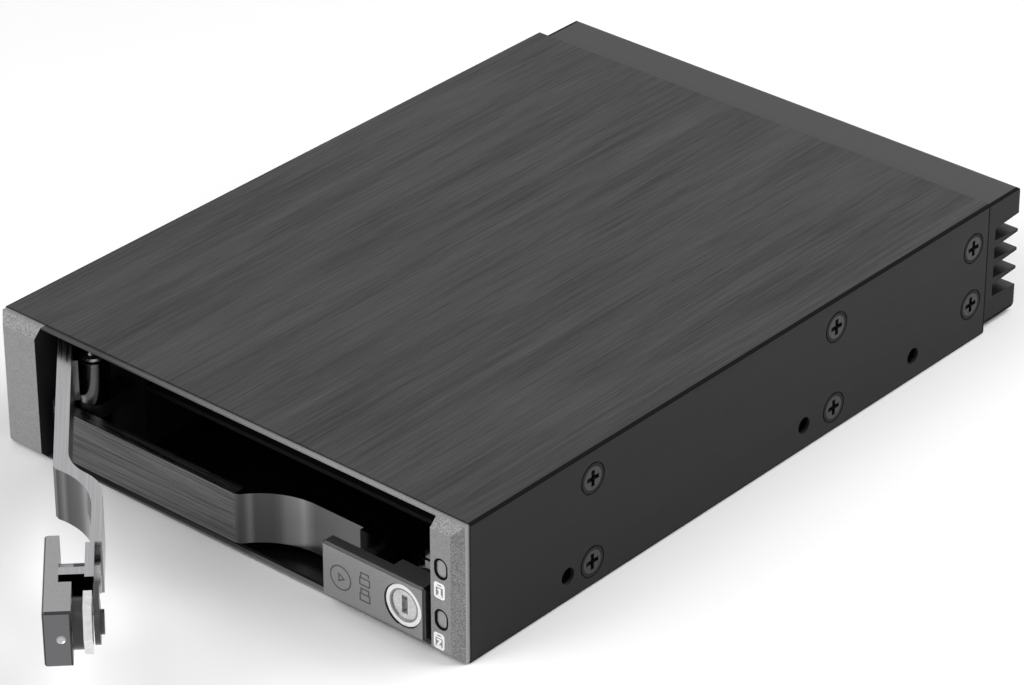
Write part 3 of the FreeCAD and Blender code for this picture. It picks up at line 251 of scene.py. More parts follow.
def grainedBezel():
    look = bezelLook
    finish, tree, sockets = newFinish("sparkGrainedAbs")
    place = addNode(tree, "ShaderNodeTexCoord", {}, {}, "Object")
    grain = addNode(tree, "ShaderNodeTexNoise", {}, {
        "Vector": place, "Scale": 1 / (look["grain"] * mm), "Detail": 2.0, "Roughness": 0.6})
    points = addNode(tree, "ShaderNodeMapRange", {}, {"Value": grain, **noiseSpread})
    normal = addNode(tree, "ShaderNodeTexCoord", {}, {}, "Normal")
    frontward = addNode(tree, "ShaderNodeSeparateXYZ", {}, {"Vector": normal}, "Y")
    slant, slack = look["slant"]
    isSlanted = addNode(tree, "ShaderNodeMath", {"operation": "COMPARE"}, {0: frontward, 1: slant, 2: slack})
    amount = addNode(tree, "ShaderNodeMapRange", {}, {
        "Value": isSlanted, "To Min": look["flatGrain"], "To Max": 1.0})
    points = addNode(tree, "ShaderNodeMix", {"data_type": "FLOAT"}, {0: amount, 2: look["middle"], 3: points})
    colour = addNode(tree, "ShaderNodeMix", mixColour, {0: points, 6: look["dark"], 7: look["light"]}, 2)
    # Painted shade: the rails over and under the opening darken towards the hinge
    x = addNode(tree, "ShaderNodeSeparateXYZ", {}, {"Vector": place}, "X")
    isRail = addNode(tree, "ShaderNodeMath", {"operation": "COMPARE"}, {
        0: x, 1: look["railMiddle"] * mm, 2: look["railHalf"] * mm})
    hinge, catch = look["railFade"]
    shade = addNode(tree, "ShaderNodeMapRange", {}, {
        "Value": x, "From Min": catch * mm, "From Max": hinge * mm})
    shade = addNode(tree, "ShaderNodeMath", {"operation": "MULTIPLY"}, {0: shade, 1: isRail})
    colour = addNode(tree, "ShaderNodeMix", mixColour, {0: shade, 6: colour, 7: look["rail"]}, 2)
    # On a face towards the opening, the place across and the normal across have different signs
    across = addNode(tree, "ShaderNodeVectorMath", {"operation": "SIGN"}, {0: place})
    across = addNode(tree, "ShaderNodeVectorMath", {"operation": "MULTIPLY"}, {0: across, 1: normal})
    outward = addNode(tree, "ShaderNodeSeparateXYZ", {}, {"Vector": across}, "X")
    # Painted light on the outer sides, painted shade on the faces towards the opening
    isSide = addNode(tree, "ShaderNodeMath", {"operation": "GREATER_THAN"}, {0: outward, 1: look["sideFrom"]})
    colour = addNode(tree, "ShaderNodeMix", mixColour, {0: isSide, 6: colour, 7: look["side"]}, 2)
    isShadedInward = addNode(tree, "ShaderNodeMath", {"operation": "LESS_THAN"}, {0: outward, 1: look["inwardFrom"]})
    colour = addNode(tree, "ShaderNodeMix", mixColour, {0: isShadedInward, 6: colour, 7: look["inward"]}, 2)
    tree.links.new(colour, sockets["Base Color"])
    rough = addNode(tree, "ShaderNodeMapRange", {}, {
        "Value": points, "To Min": look["roughHigh"], "To Max": look["roughLow"]})
    tree.links.new(rough, sockets["Roughness"])
    bump = addNode(tree, "ShaderNodeBump", {}, {
        "Strength": look["bump"], "Distance": bumpDepth, "Height": grain})
    tree.links.new(bump, sockets["Normal"])
    sockets["IOR"].default_value = look["ior"]
    return finish


def leverPlace(tree, level):  # the place of a point of a lever from the pivot, as if the lever were shut
    turn = math.radians(lever["turn"][level])
    pivot = Matrix.Rotation(turn, 3, "Z") @ Vector((*lever["pivot"], 0)) * mm
    place = addNode(tree, "ShaderNodeTexCoord", {}, {}, "Object")
    return addNode(tree, "ShaderNodeMapping", {}, {
        "Vector": place, "Rotation": (0, 0, turn), "Location": -pivot})


# Handles: ABS under a dark metallic paint, which evens out the grain and mirrors its surroundings softly. The
# end face and the rounded edges are darker with painted shade, the tube round the lock is darker, and the dimple
# for the catch is a painted highlight.
handleLook = {
    "dark": "#8c8c8d", "light": "#9e9e9f", "end": "#68686a", "endFrom": 0.9, "edge": "#39393a",
    "tube": "#3c3c3d", "tubeStart": -2.15,
    "dimpleHighlight": "#b8b8b9", "dimple": (78.45, -3.8, 4.85), "dimpleRadius": 0.83,
    "rounded": (0.58, 0.32), "grain": 0.24, "roughLow": 0.26, "roughHigh": 0.36, "bump": 0.2, "metal": 0.9,
}


def paintedHandle(level):
    look = handleLook
    finish, tree, sockets = newFinish(level + "MetallicPaintedAbs")
    shut = leverPlace(tree, level)
    grain = addNode(tree, "ShaderNodeTexNoise", {}, {
        "Vector": shut, "Scale": 1 / (look["grain"] * mm), "Detail": 2.0, "Roughness": 0.6})
    points = addNode(tree, "ShaderNodeMapRange", {}, {"Value": grain, **noiseSpread})
    colour = addNode(tree, "ShaderNodeMix", mixColour, {0: points, 6: look["dark"], 7: look["light"]}, 2)
    normal = addNode(tree, "ShaderNodeTexCoord", {}, {}, "Normal")
    turn = math.radians(lever["turn"][level])
    along = (math.cos(turn), -math.sin(turn), 0)
    facing = addNode(tree, "ShaderNodeVectorMath", {"operation": "DOT_PRODUCT"}, {0: normal, 1: along}, "Value")
    # Painted shade: the end face and the rounded edges are darker
    isShadedEnd = addNode(tree, "ShaderNodeMath", {"operation": "GREATER_THAN"}, {0: facing, 1: look["endFrom"]})
    colour = addNode(tree, "ShaderNodeMix", mixColour, {0: isShadedEnd, 6: colour, 7: look["end"]}, 2)
    upright = addNode(tree, "ShaderNodeSeparateXYZ", {}, {"Vector": normal}, "Z")
    middle, slack = look["rounded"]
    isUpper = addNode(tree, "ShaderNodeMath", {"operation": "COMPARE"}, {0: upright, 1: middle, 2: slack})
    isOuter = addNode(tree, "ShaderNodeMath", {"operation": "COMPARE"}, {0: facing, 1: middle, 2: slack})
    isShadedEdge = addNode(tree, "ShaderNodeMath", {"operation": "MAXIMUM"}, {0: isUpper, 1: isOuter})
    colour = addNode(tree, "ShaderNodeMix", mixColour, {0: isShadedEdge, 6: colour, 7: look["edge"]}, 2)
    # Painted highlight: the dimple for the catch is painted bright
    dimple = (Vector(look["dimple"]) + Vector((0, 0, lever["bottom"][level]))) * mm
    away = addNode(tree, "ShaderNodeVectorMath", {"operation": "DISTANCE"}, {0: shut, 1: dimple}, "Value")
    isDimpleHighlight = addNode(tree, "ShaderNodeMath", {"operation": "LESS_THAN"}, {
        0: away, 1: look["dimpleRadius"] * mm})
    colour = addNode(tree, "ShaderNodeMix", mixColour, {0: isDimpleHighlight, 6: colour, 7: look["dimpleHighlight"]}, 2)
    depth = addNode(tree, "ShaderNodeSeparateXYZ", {}, {"Vector": shut}, "Y")
    isTube = addNode(tree, "ShaderNodeMath", {"operation": "GREATER_THAN"}, {
        0: depth, 1: look["tubeStart"] * mm})
    colour = addNode(tree, "ShaderNodeMix", mixColour, {0: isTube, 6: colour, 7: look["tube"]}, 2)
    tree.links.new(colour, sockets["Base Color"])
    rough = addNode(tree, "ShaderNodeMapRange", {}, {
        "Value": points, "To Min": look["roughHigh"], "To Max": look["roughLow"]})
    tree.links.new(rough, sockets["Roughness"])
    bump = addNode(tree, "ShaderNodeBump", {}, {
        "Strength": look["bump"], "Distance": bumpDepth, "Height": grain})
    tree.links.new(bump, sockets["Normal"])
    sockets["Metallic"].default_value = look["metal"]
    return finish


# Lever arms: extruded aluminium dyed dark, brushed along the straight bar with strokes drawn coarser than
# the real ones, smooth on the hinge barrel and in the bend, where bands of painted reflection follow the curve.
# The foot behind the handle is painted blacker as painted shade. Where the extrusion was sawn off it is bare
# satin metal, whose paleness on the top is partly painted light.
leverLook = {
    "reflectionBands": [  # mm from the pivot along the lever, and the shade there
        (36.9, "#5e5e5f"), (37.6, "#4c4c4d"), (38.1, "#565657"), (38.7, "#757576"), (39.3, "#535354"),
        (41.6, "#545455"), (42.5, "#5f5f60"), (43.4, "#787879"), (45.4, "#8b8b8c"), (46.5, "#a0a0a1"),
        (47.6, "#868687"), (48.9, "#727273"), (56.0, "#808081")],
    "dark": "#464647", "light": "#747475", "sawnAndLit": "#9c9c9e", "sawnLight": "#acacae", "sawnFrom": 0.7,
    "footShade": "#1c1c1d", "footStart": 59.1, "barEnd": 36.9, "barBack": -3.2,
    "strokeWidth": 0.3, "strokeLength": 24.0, "roughLow": 0.16, "roughHigh": 0.42, "bump": 0.12,
}


def brushedLever(level):
    look = leverLook
    finish, tree, sockets = newFinish(level + "BrushedLeverAluminium")
    shut = leverPlace(tree, level)
    across, along = 1 / (look["strokeWidth"] * mm), 1 / (look["strokeLength"] * mm)
    fine = addNode(tree, "ShaderNodeMapping", {}, {"Vector": shut, "Scale": (along, across, across)})
    strokes = addNode(tree, "ShaderNodeTexNoise", {}, {
        "Vector": fine, "Scale": 1.0, "Detail": 3.0, "Roughness": 0.7})
    strokes = addNode(tree, "ShaderNodeMapRange", {}, {"Value": strokes, **noiseSpread})
    reach = addNode(tree, "ShaderNodeSeparateXYZ", {}, {"Vector": shut}, "X")
    depth = addNode(tree, "ShaderNodeSeparateXYZ", {}, {"Vector": shut}, "Y")
    before = addNode(tree, "ShaderNodeMath", {"operation": "LESS_THAN"}, {0: reach, 1: look["barEnd"] * mm})
    ahead = addNode(tree, "ShaderNodeMath", {"operation": "LESS_THAN"}, {0: depth, 1: look["barBack"] * mm})
    isBar = addNode(tree, "ShaderNodeMath", {"operation": "MULTIPLY"}, {0: before, 1: ahead})
    brushed = addNode(tree, "ShaderNodeMath", {"operation": "MULTIPLY"}, {0: strokes, 1: isBar})
    dyed = addNode(tree, "ShaderNodeMix", mixColour, {0: strokes, 6: look["dark"], 7: look["light"]}, 2)
    # Painted reflection: light and dark bands along the bend
    (start, first), (end, last) = look["reflectionBands"][0], look["reflectionBands"][-1]
    bend = addNode(tree, "ShaderNodeMapRange", {}, {
        "Value": reach, "From Min": start * mm, "From Max": end * mm})
    paintedBands = addNode(tree, "ShaderNodeValToRGB", {}, {"Fac": bend})
    stops = paintedBands.node.color_ramp.elements
    stops[0].color, stops[1].color = linear(first), linear(last)
    for spot, shade in look["reflectionBands"][1:-1]:
        stops.new((spot - start) / (end - start)).color = linear(shade)
    dyed = addNode(tree, "ShaderNodeMix", mixColour, {0: isBar, 6: paintedBands, 7: dyed}, 2)
    # Painted shade: the foot behind the handle is painted blacker
    isShadedFoot = addNode(tree, "ShaderNodeMath", {"operation": "GREATER_THAN"}, {
        0: reach, 1: look["footStart"] * mm})
    dyed = addNode(tree, "ShaderNodeMix", mixColour, {0: isShadedFoot, 6: dyed, 7: look["footShade"]}, 2)
    # Bare satin metal on the sawn faces, whose paleness on the top is partly painted light
    sawnAndLit = addNode(tree, "ShaderNodeMix", mixColour, {
        0: strokes, 6: look["sawnAndLit"], 7: look["sawnLight"]}, 2)
    normal = addNode(tree, "ShaderNodeTexCoord", {}, {}, "Normal")
    upright = addNode(tree, "ShaderNodeVectorMath", {"operation": "DOT_PRODUCT"}, {
        0: normal, 1: (0, 0, 1)}, "Value")
    upright = addNode(tree, "ShaderNodeMath", {"operation": "ABSOLUTE"}, {0: upright})
    isSawnAndLit = addNode(tree, "ShaderNodeMath", {"operation": "GREATER_THAN"}, {0: upright, 1: look["sawnFrom"]})
    colour = addNode(tree, "ShaderNodeMix", mixColour, {0: isSawnAndLit, 6: dyed, 7: sawnAndLit}, 2)
    tree.links.new(colour, sockets["Base Color"])
    sockets["Metallic"].default_value = 1.0
    rough = addNode(tree, "ShaderNodeMapRange", {}, {
        "Value": brushed, "To Min": look["roughLow"], "To Max": look["roughHigh"]})
    tree.links.new(rough, sockets["Roughness"])
    bump = addNode(tree, "ShaderNodeBump", {}, {
        "Strength": look["bump"], "Distance": bumpDepth, "Height": brushed})
    tree.links.new(bump, sockets["Normal"])
    return finish


# Lock barrels: nickel frosted by tumbling, which gives a white ring round a darker seat for the core. The axis
# is in mm from the pivot and above the bottom of the lever.
barrelLook = {
    "dark": "#e6e6e7", "light": "#fafafb", "seat": "#8c8c8d", "seatRadius": 2.95, "axis": (73.6, 4.85),
    "grain": 0.8, "roughLow": 0.3, "roughHigh": 0.42, "metal": 0.4,
}


def platedBarrel(level):
    look = barrelLook
    finish, tree, sockets = newFinish(level + "FrostedNickel")
    shut = leverPlace(tree, level)
    mottle = addNode(tree, "ShaderNodeTexNoise", {}, {
        "Vector": shut, "Scale": 1 / (look["grain"] * mm), "Detail": 2.0})
    colour = addNode(tree, "ShaderNodeMix", mixColour, {0: mottle, 6: look["dark"], 7: look["light"]}, 2)
    reach, height = look["axis"]
    axis = (reach * mm, 0, (lever["bottom"][level] + height) * mm)
    away = addNode(tree, "ShaderNodeVectorMath", {"operation": "SUBTRACT"}, {0: shut, 1: axis})
    away = addNode(tree, "ShaderNodeVectorMath", {"operation": "MULTIPLY"}, {0: away, 1: (1, 0, 1)})
    radius = addNode(tree, "ShaderNodeVectorMath", {"operation": "LENGTH"}, {0: away}, "Value")
    isSeat = addNode(tree, "ShaderNodeMath", {"operation": "LESS_THAN"}, {
        0: radius, 1: look["seatRadius"] * mm})
    colour = addNode(tree, "ShaderNodeMix", mixColour, {0: isSeat, 6: colour, 7: look["seat"]}, 2)
    tree.links.new(colour, sockets["Base Color"])
    rough = addNode(tree, "ShaderNodeMapRange", {}, {
        "Value": mottle, "To Min": look["roughLow"], "To Max": look["roughHigh"]})
    tree.links.new(rough, sockets["Roughness"])
    sockets["Metallic"].default_value = look["metal"]
    return finish


# Finishes with only a fine unevenness of colour and gloss, whose size is in mm
plainLooks = {
    "mouldedBlackNylon": {"dark": "#030303", "light": "#080808", "grain": 0.5, "rough": (0.5, 0.65), "ior": 1.53},
    "connectorPolymer": {"dark": "#0d0d0e", "light": "#18181a", "grain": 0.4, "rough": (0.4, 0.55), "ior": 1.6},
    "blackPaintedSteel": {"dark": "#050505", "light": "#0b0b0b", "grain": 0.8, "rough": (0.45, 0.6), "ior": 1.5},
    "solderMask": {"dark": "#0c1f14", "light": "#12301f", "grain": 2.0, "rough": (0.3, 0.45), "ior": 1.55},
    "smokedAcrylic": {"dark": "#868687", "light": "#9a9a9b", "grain": 1.5, "rough": (0.2, 0.3), "ior": 1.49},
    "clearResin": {"dark": "#b9b7a8", "light": "#d6d4c6", "grain": 0.6, "rough": (0.15, 0.25), "ior": 1.5},
    "whiteInk": {"dark": "#e6e6e6", "light": "#f6f6f6", "grain": 0.3, "rough": (0.45, 0.6), "ior": 1.5},
    # Dark for the painted shade in the lines of the lock signs
    "engravedLineShade": {"dark": "#3c3c3c", "light": "#525252", "grain": 0.2, "rough": (0.5, 0.65), "ior": 1.53},
    # Black for the painted shade in the gaps round the lenses
    "gapShadeBlack": {"dark": "#010101", "light": "#040404", "grain": 0.3, "rough": (0.85, 0.95), "ior": 1.2},
    "brightSteel": {"dark": "#8e8e8f", "light": "#b4b4b5", "grain": 0.4, "rough": (0.22, 0.34)},
    "chromePlate": {"dark": "#c4c4c5", "light": "#eaeaeb", "grain": 1.2, "rough": (0.1, 0.2)},
    "zincPlate": {"dark": "#38383a", "light": "#565658", "grain": 0.6, "rough": (0.25, 0.4)},
    "dieCastZinc": {"dark": "#b8b8b9", "light": "#f8f8f9", "grain": 0.9, "rough": (0.2, 0.34), "metal": 0.8},
    "goldPlate": {"dark": "#a8823a", "light": "#d2ab58", "grain": 0.5, "rough": (0.2, 0.32)},
}


def plainFinish(name):
    look = plainLooks[name]
    finish, tree, sockets = newFinish(name)
    place = addNode(tree, "ShaderNodeTexCoord", {}, {}, "Object")
    mottle = addNode(tree, "ShaderNodeTexNoise", {}, {
        "Vector": place, "Scale": 1 / (look["grain"] * mm), "Detail": 2.0})
    colour = addNode(tree, "ShaderNodeMix", mixColour, {0: mottle, 6: look["dark"], 7: look["light"]}, 2)
    tree.links.new(colour, sockets["Base Color"])
    low, high = look["rough"]
    tree.links.new(addNode(tree, "ShaderNodeMapRange", {}, {"Value": mottle, "To Min": low, "To Max": high}),
                   sockets["Roughness"])
    if "ior" in look:
        sockets["IOR"].default_value = look["ior"]
    else:
        sockets["Metallic"].default_value = look.get("metal", 1.0)
    return finish


finishes = {name: plainFinish(name) for name in plainLooks}
finishes["sleeve"] = brushedSleeve()
finishes["block"] = anodisedBlock()
finishes["screws"] = blackenedScrews()
finishes["bezel"] = grainedBezel()
for level in ("lower", "upper"):
    finishes[level + "Lever"] = brushedLever(level)
    finishes[level + "Handle"] = paintedHandle(level)
    finishes[level + "Barrel"] = platedBarrel(level)
nodeFinish = {
    "case_sleeve": "sleeve", "rear_end_block": "block", "front_bezel": "bezel",
    "left_guide": "mouldedBlackNylon", "right_guide": "mouldedBlackNylon", "bay_divider": "blackPaintedSteel",
    "case_screws": "screws", "board_screws": "brightSteel", "hinge_pin": "brightSteel",
    "hinge_clip": "brightSteel", "backplane_board": "solderMask", "power_port": "connectorPolymer",
}
for level in ("lower", "upper"):
    nodeFinish.update({
        level + "_data_port": "connectorPolymer", level + "_drive_socket": "connectorPolymer",
        level + "_light_pipe": "smokedAcrylic", level + "_status_lamp": "clearResin",
        level + "_catch_plunger": "zincPlate", level + "_lever_arm": level + "Lever",
        level + "_handle": level + "Handle", level + "_handle_screw": "brightSteel",
        level + "_lock_barrel": level + "Barrel", level + "_lock_nut": "chromePlate",
        level + "_lock_core": "dieCastZinc", level + "_lock_cam": "zincPlate",
        level + "_cam_screw": "zincPlate",
    })
for name, item in nodes.items():
    item.data.materials.clear()
    item.data.materials.append(finishes[nodeFinish[name]])
print("stage: finishes on", len(nodeFinish), "nodes")


def finishPiece(shape, name, finishName, body):
    bmesh.ops.recalc_face_normals(shape, faces=shape.faces)
    mesh = bpy.data.meshes.new(name)
    shape.to_mesh(mesh)
    shape.free()
    piece = bpy.data.objects.new(name, mesh)
    bpy.context.scene.collection.objects.link(piece)
    mesh.materials.append(finishes[finishName])
    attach(piece, body)


def drawFrame(shape, centre, size, line, corner):  # a flat rounded frame in X and Y, in mm
    spots = bmesh.ops.create_circle(shape, cap_ends=True, segments=cornerSteps, radius=corner)["verts"]
    bmesh.ops.rotate(shape, matrix=Matrix.Rotation(math.pi / cornerSteps, 3, "Z"), verts=spots)
    for x, y in ((-1, -1), (-1, 1), (1, -1), (1, 1)):
        quarter = [spot for spot in spots if spot.co.x * x > 0 and spot.co.y * y > 0]
        outward = (x * (size[0] / 2 - corner), y * (size[1] / 2 - corner), 0)
        bmesh.ops.translate(shape, vec=outward, verts=quarter)
    bmesh.ops.translate(shape, vec=(centre[0], centre[1], 0), verts=spots)
    hollowOut(shape, spots[0].link_faces[0], line)


def hollowOut(shape, face, line):  # leaves a line of this width along the outline of a flat face
    bmesh.ops.inset_region(shape, faces=[face], thickness=line, use_boundary=True, use_even_offset=True)
    bmesh.ops.delete(shape, geom=[face], context="FACES")


def drawDisc(shape, centre, radius, sides, turn=0.0):
    spots = bmesh.ops.create_circle(shape, cap_ends=True, segments=sides, radius=radius)["verts"]
    bmesh.ops.rotate(shape, cent=(0, 0, 0), matrix=Matrix.Rotation(turn, 3, "Z"), verts=spots)
    bmesh.ops.translate(shape, vec=(centre[0], centre[1], 0), verts=spots)
    return spots[0].link_faces[0]


def drawBar(shape, centre, size, lean=0.0):  # the top of a leaning bar is this far to the right of its foot
    spots = bmesh.ops.create_grid(shape, x_segments=1, y_segments=1, size=0.5)["verts"]
    bmesh.ops.scale(shape, vec=(size[0], size[1], 1), verts=spots)
    for spot in spots:
        spot.co.x += lean * spot.co.y / size[1]
    bmesh.ops.translate(shape, vec=(centre[0], centre[1], 0), verts=spots)


def liftOff(shape, thickness, sunk, place):  # gives flat faces a thickness and sets them in the object, in metres
    bmesh.ops.recalc_face_normals(shape, faces=shape.faces)
    flat = shape.verts[:]
    top = bmesh.ops.extrude_face_region(shape, geom=shape.faces[:])["geom"]
    raised = [item for item in top if isinstance(item, bmesh.types.BMVert)]
    bmesh.ops.translate(shape, vec=(0, 0, thickness - sunk), verts=raised)
    bmesh.ops.translate(shape, vec=(0, 0, -sunk), verts=flat)
    upright = Matrix.Rotation(math.radians(90), 4, "X")
    bmesh.ops.transform(shape, matrix=Matrix.Scale(mm, 4) @ place @ upright, verts=shape.verts)


# Printed drive marks beside the lamps: a rounded frame with a slot at its top and the bay's number under it.
# The strokes are (place, size, lean) from the middle of the frame in mm.
markLook = {
    "face": -69.25, "size": (2.2, 2.9), "line": 0.36, "corner": 0.5, "thickness": 0.03, "sunk": 0.01,
    "spots": {"upper": (46.58, 12.83), "lower": (46.41, 3.56)},
    "slot": [((0.0, 0.7), (1.5, 0.28), 0.0), ((-0.58, 0.97), (0.34, 0.26), 0.0),
             ((0.58, 0.97), (0.34, 0.26), 0.0)],
    "strokes": {
        "upper": [((0.06, -0.19), (0.44, 1.1), 0.0), ((0.06, -0.88), (1.0, 0.28), 0.0),
                  ((-0.27, 0.14), (0.22, 0.28), 0.0)],
        "lower": [((0.0, 0.22), (1.0, 0.3), 0.0), ((0.0, -0.33), (0.46, 0.8), 0.5),
                  ((0.0, -0.88), (1.0, 0.3), 0.0)],
    },
}


def makeDriveMark(level):
    look = markLook
    x, z = look["spots"][level]
    shape = bmesh.new()
    drawFrame(shape, (0, 0), look["size"], look["line"], look["corner"])
    for place, size, lean in look["slot"] + look["strokes"][level]:
        drawBar(shape, place, size, lean)
    liftOff(shape, look["thickness"], look["sunk"], Matrix.Translation((x, look["face"], z)))
    finishPiece(shape, level + "DriveMark", "whiteInk", "chassis")


# Lens rims: a thin black ring round every light pipe, painted shade of the gap round the lens
rimLook = {
    "face": -68.95, "size": (2.76, 3.76), "line": 0.32, "thickness": 0.27, "sunk": 0.01, "x": 46.9,
    "endFlat": 0.01,  # half of the straight bit between two round corners
    "heights": {"lower": 7.65, "upper": 16.85},
}


def makeLensGapShade(level):
    look = rimLook
    shape = bmesh.new()
    drawFrame(shape, (0, 0), look["size"], look["line"], look["size"][0] / 2 - look["endFlat"])
    spot = (look["x"], look["face"], look["heights"][level])
    liftOff(shape, look["thickness"], look["sunk"], Matrix.Translation(spot))
    finishPiece(shape, level + "LensGapShade", "gapShadeBlack", "chassis")


# Lock signs cut into each handle: a ring with a pointer, and an open over a closed padlock, drawn as dark lines
# of painted shade
signLook = {
    "face": -6.5, "ring": (60.6, 4.45), "ringRadius": 2.25, "ringSides": 36, "line": 0.26,
    "pointer": 1.0, "pointerSides": 3, "pointerTurn": 30.0,
    "locks": (65.7, 4.7), "lockSize": (2.3, 1.5), "lockCorner": 0.15, "lockStep": 2.9, "lockDrop": 0.4,
    "shackle": 0.8, "leg": 0.8, "openLeg": 0.5,
    "thickness": 0.03, "sunk": 0.01,
}


def makeLockSigns(level):
    look = signLook
    shape = bmesh.new()
    hollowOut(shape, drawDisc(shape, look["ring"], look["ringRadius"], look["ringSides"]), look["line"])
    pointerTurn = math.radians(look["pointerTurn"])
    pointer = drawDisc(shape, look["ring"], look["pointer"], look["pointerSides"], pointerTurn)
    hollowOut(shape, pointer, look["line"])
    x, z = look["locks"]
    for side, isOpen in ((-1, False), (1, True)):
        height = z + side * look["lockStep"] / 2 - look["lockDrop"]
        drawFrame(shape, (x, height), look["lockSize"], look["line"], look["lockCorner"])
        bow = height + look["lockSize"][1] / 2
        for leg in (-1, 1):
            reach = look["openLeg"] if isOpen and leg > 0 else look["leg"]
            middle = bow + reach / 2 + (look["leg"] - reach)
            drawBar(shape, (x + leg * look["shackle"], middle), (look["line"], reach))
        drawBar(shape, (x, bow + look["leg"]), (2 * look["shackle"] + look["line"], look["line"]))
    pivot = Matrix.Translation((*lever["pivot"], lever["bottom"][level]))
    swing = Matrix.Rotation(math.radians(-lever["turn"][level]), 4, "Z")
    liftOff(shape, look["thickness"], look["sunk"], pivot @ swing @ Matrix.Translation((0, look["face"], 0)))
    finishPiece(shape, level + "LockSigns", "engravedLineShade", level + "_lever")


# Contacts: a tongue with gold strips in every port and drive socket. Spans are in mm, from the board out.
contactLook = {
    "pitch": 1.27, "strip": 0.7, "stripInset": 0.3, "stripBevel": 0.02, "proud": 0.03,
    "tongue": 0.9, "tongueBevel": 0.12, "side": 0.5,
    "tongues": [  # name, x span, y span from root to tip, height, strips
        ("lowerData", (-19.3, -8.7), (59.3, 65.7), 9.8, 7),
        ("upperData", (-19.3, -8.7), (59.3, 65.7), 15.6, 7),
        ("power", (-0.4, 20.4), (59.3, 65.7), 12.7, 15),
        ("lowerSignal", (-14.5, -3.9), (53.3, 47.9), 7.4, 7),
        ("upperSignal", (-14.5, -3.9), (53.3, 47.9), 18.0, 7),
        ("lowerSupply", (-1.5, 24.1), (53.3, 47.9), 7.4, 15),
        ("upperSupply", (-1.5, 24.1), (53.3, 47.9), 18.0, 15),
    ],
}


def addBlock(shape, x, y, z, bevel):
    spots = bmesh.ops.create_cube(shape, size=1.0)["verts"]
    bmesh.ops.scale(shape, vec=(x[1] - x[0], y[1] - y[0], z[1] - z[0]), verts=spots)
    bmesh.ops.translate(shape, vec=[(low + high) / 2 for low, high in (x, y, z)], verts=spots)
    edges = list({edge for spot in spots for edge in spot.link_edges})
    bmesh.ops.bevel(shape, geom=edges, offset=bevel, segments=2, profile=0.5, affect="EDGES", material=-1)


def makeTongue(name, across, depths, height, count):
    look = contactLook
    shape = bmesh.new()
    y = (min(depths), max(depths))
    half = look["tongue"] / 2
    left, right = across[0] + look["side"], across[1] - look["side"]
    addBlock(shape, (left, right), y, (height - half, height + half), look["tongueBevel"])
    bmesh.ops.scale(shape, vec=(mm, mm, mm), verts=shape.verts)
    finishPiece(shape, name + "Tongue", "connectorPolymer", "chassis")
    strips = bmesh.new()
    first = (left + right) / 2 - look["pitch"] * (count - 1) / 2
    for number in range(count):
        x = first + look["pitch"] * number
        strip = (x - look["strip"] / 2, x + look["strip"] / 2)
        length = (y[0] + look["stripInset"], y[1] - look["stripInset"])
        addBlock(strips, strip, length, (height, height + half + look["proud"]), look["stripBevel"])
    bmesh.ops.scale(strips, vec=(mm, mm, mm), verts=strips.verts)
    finishPiece(strips, name + "Strips", "goldPlate", "chassis")


for level in ("lower", "upper"):
    makeDriveMark(level)
    makeLensGapShade(level)
    makeLockSigns(level)
for tongue in contactLook["tongues"]:
    makeTongue(*tongue)
print("stage: marks, signs and contacts made")

# Studio: pale paper under soft panels, seen against white
studio = {
    "paper": "#fafafa", "paperSize": 1.0, "paperFade": (0.15, 0.7), "paperRough": 0.9,
    "backdrop": "#ffffff", "fill": 0.3,
    "camera": (0.426285, -0.487133, 0.385181), "aim": (-0.000564, 0.001664, 0.007347), "roll": -0.1349,
    "lens": 156.09, "sensor": 36.0, "clip": (0.01, 20.0),
    "panels": [  # name, place in metres, size, watts
        ("overhead", (0.25, 0.2, 0.45), 0.4, 2.0),
        ("left", (-0.55, -0.85, 0.5), 0.8, 6.9),
        ("right", (0.75, 0.7, 0.35), 0.5, 1.7),
        ("front", (-0.05, -0.4, 0.5), 0.3, 0.9),
    ],
}


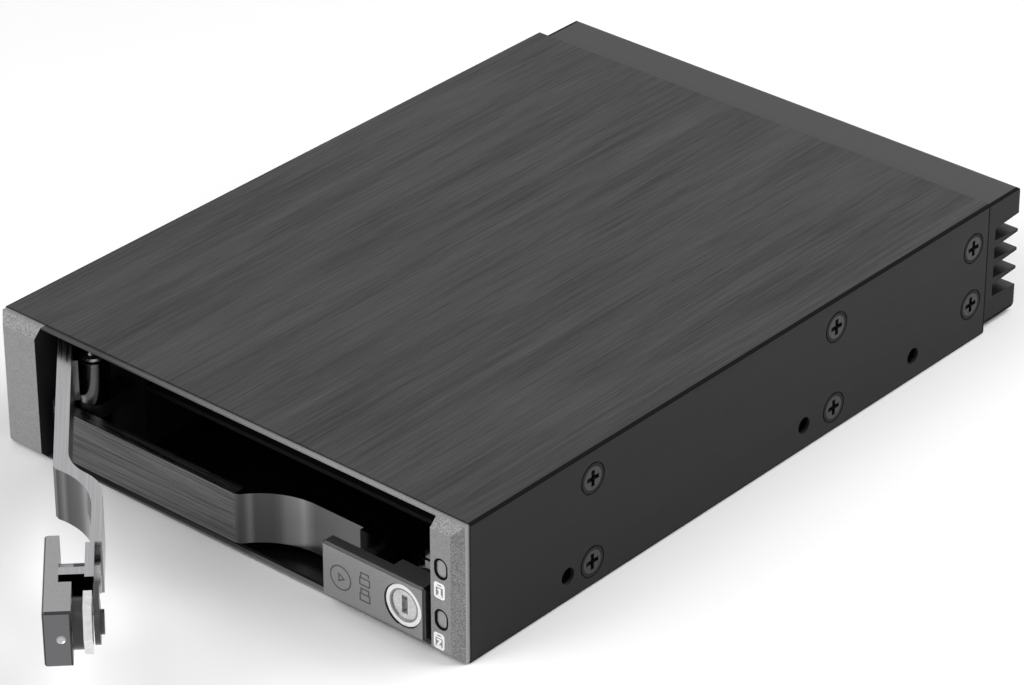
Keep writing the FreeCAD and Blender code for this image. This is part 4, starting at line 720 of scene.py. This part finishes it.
def makePaper():
    shape = bmesh.new()
    bmesh.ops.create_grid(shape, x_segments=1, y_segments=1, size=studio["paperSize"])
    mesh = bpy.data.meshes.new("studioPaper")
    shape.to_mesh(mesh)
    shape.free()
    paper = bpy.data.objects.new("studioPaper", mesh)
    bpy.context.scene.collection.objects.link(paper)
    finish, tree, sockets = newFinish("paleStudioPaper")
    sockets["Base Color"].default_value = linear(studio["paper"])
    sockets["Roughness"].default_value = studio["paperRough"]
    # The paper ends in a soft edge, so that the white around it has no line
    place = addNode(tree, "ShaderNodeTexCoord", {}, {}, "Object")
    distance = addNode(tree, "ShaderNodeVectorMath", {"operation": "LENGTH"}, {0: place}, "Value")
    near, far = studio["paperFade"]
    tree.links.new(addNode(tree, "ShaderNodeMapRange", {"interpolation_type": "SMOOTHSTEP"}, {
        "Value": distance, "From Min": near, "From Max": far, "To Min": 1.0, "To Max": 0.0}), sockets["Alpha"])
    mesh.materials.append(finish)


def makeLights():
    for name, place, size, watts in studio["panels"]:
        lamp = bpy.data.lights.new(name + "Panel", "AREA")
        lamp.size = size
        lamp.energy = watts
        panel = bpy.data.objects.new(name + "Panel", lamp)
        panel.location = place
        panel.rotation_euler = (Vector(studio["aim"]) - Vector(place)).to_track_quat("-Z", "Y").to_euler()
        bpy.context.scene.collection.objects.link(panel)
    world = bpy.data.worlds.new("studioWorld")
    world.use_nodes = True
    tree = world.node_tree
    backdrop = tree.nodes["Background"].inputs
    backdrop["Color"].default_value = linear(studio["backdrop"])
    direct = addNode(tree, "ShaderNodeLightPath", {}, {}, "Is Camera Ray")
    glossy = addNode(tree, "ShaderNodeLightPath", {}, {}, "Is Glossy Ray")
    through = addNode(tree, "ShaderNodeLightPath", {}, {}, "Is Transmission Ray")
    seen = addNode(tree, "ShaderNodeMath", {"operation": "MAXIMUM"}, {0: direct, 1: glossy})
    seen = addNode(tree, "ShaderNodeMath", {"operation": "MAXIMUM"}, {0: seen, 1: through})
    tree.links.new(addNode(tree, "ShaderNodeMapRange", {}, {
        "Value": seen, "To Min": studio["fill"], "To Max": 1.0}),
                   backdrop["Strength"])
    bpy.context.scene.world = world


def makeCamera():
    lens = bpy.data.cameras.new("photoCamera")
    lens.lens = studio["lens"]
    lens.sensor_width = studio["sensor"]
    lens.clip_start, lens.clip_end = studio["clip"]
    camera = bpy.data.objects.new("photoCamera", lens)
    sight = Vector(studio["aim"]) - Vector(studio["camera"])
    camera.location = studio["camera"]
    turn = sight.to_track_quat("-Z", "Y").to_matrix() @ Matrix.Rotation(math.radians(studio["roll"]), 3, "Z")
    camera.rotation_euler = turn.to_euler()
    bpy.context.scene.collection.objects.link(camera)
    bpy.context.scene.camera = camera


makePaper()
makeLights()
makeCamera()
bpy.context.scene.view_settings.view_transform = "Standard"
print("stage: studio and camera set")
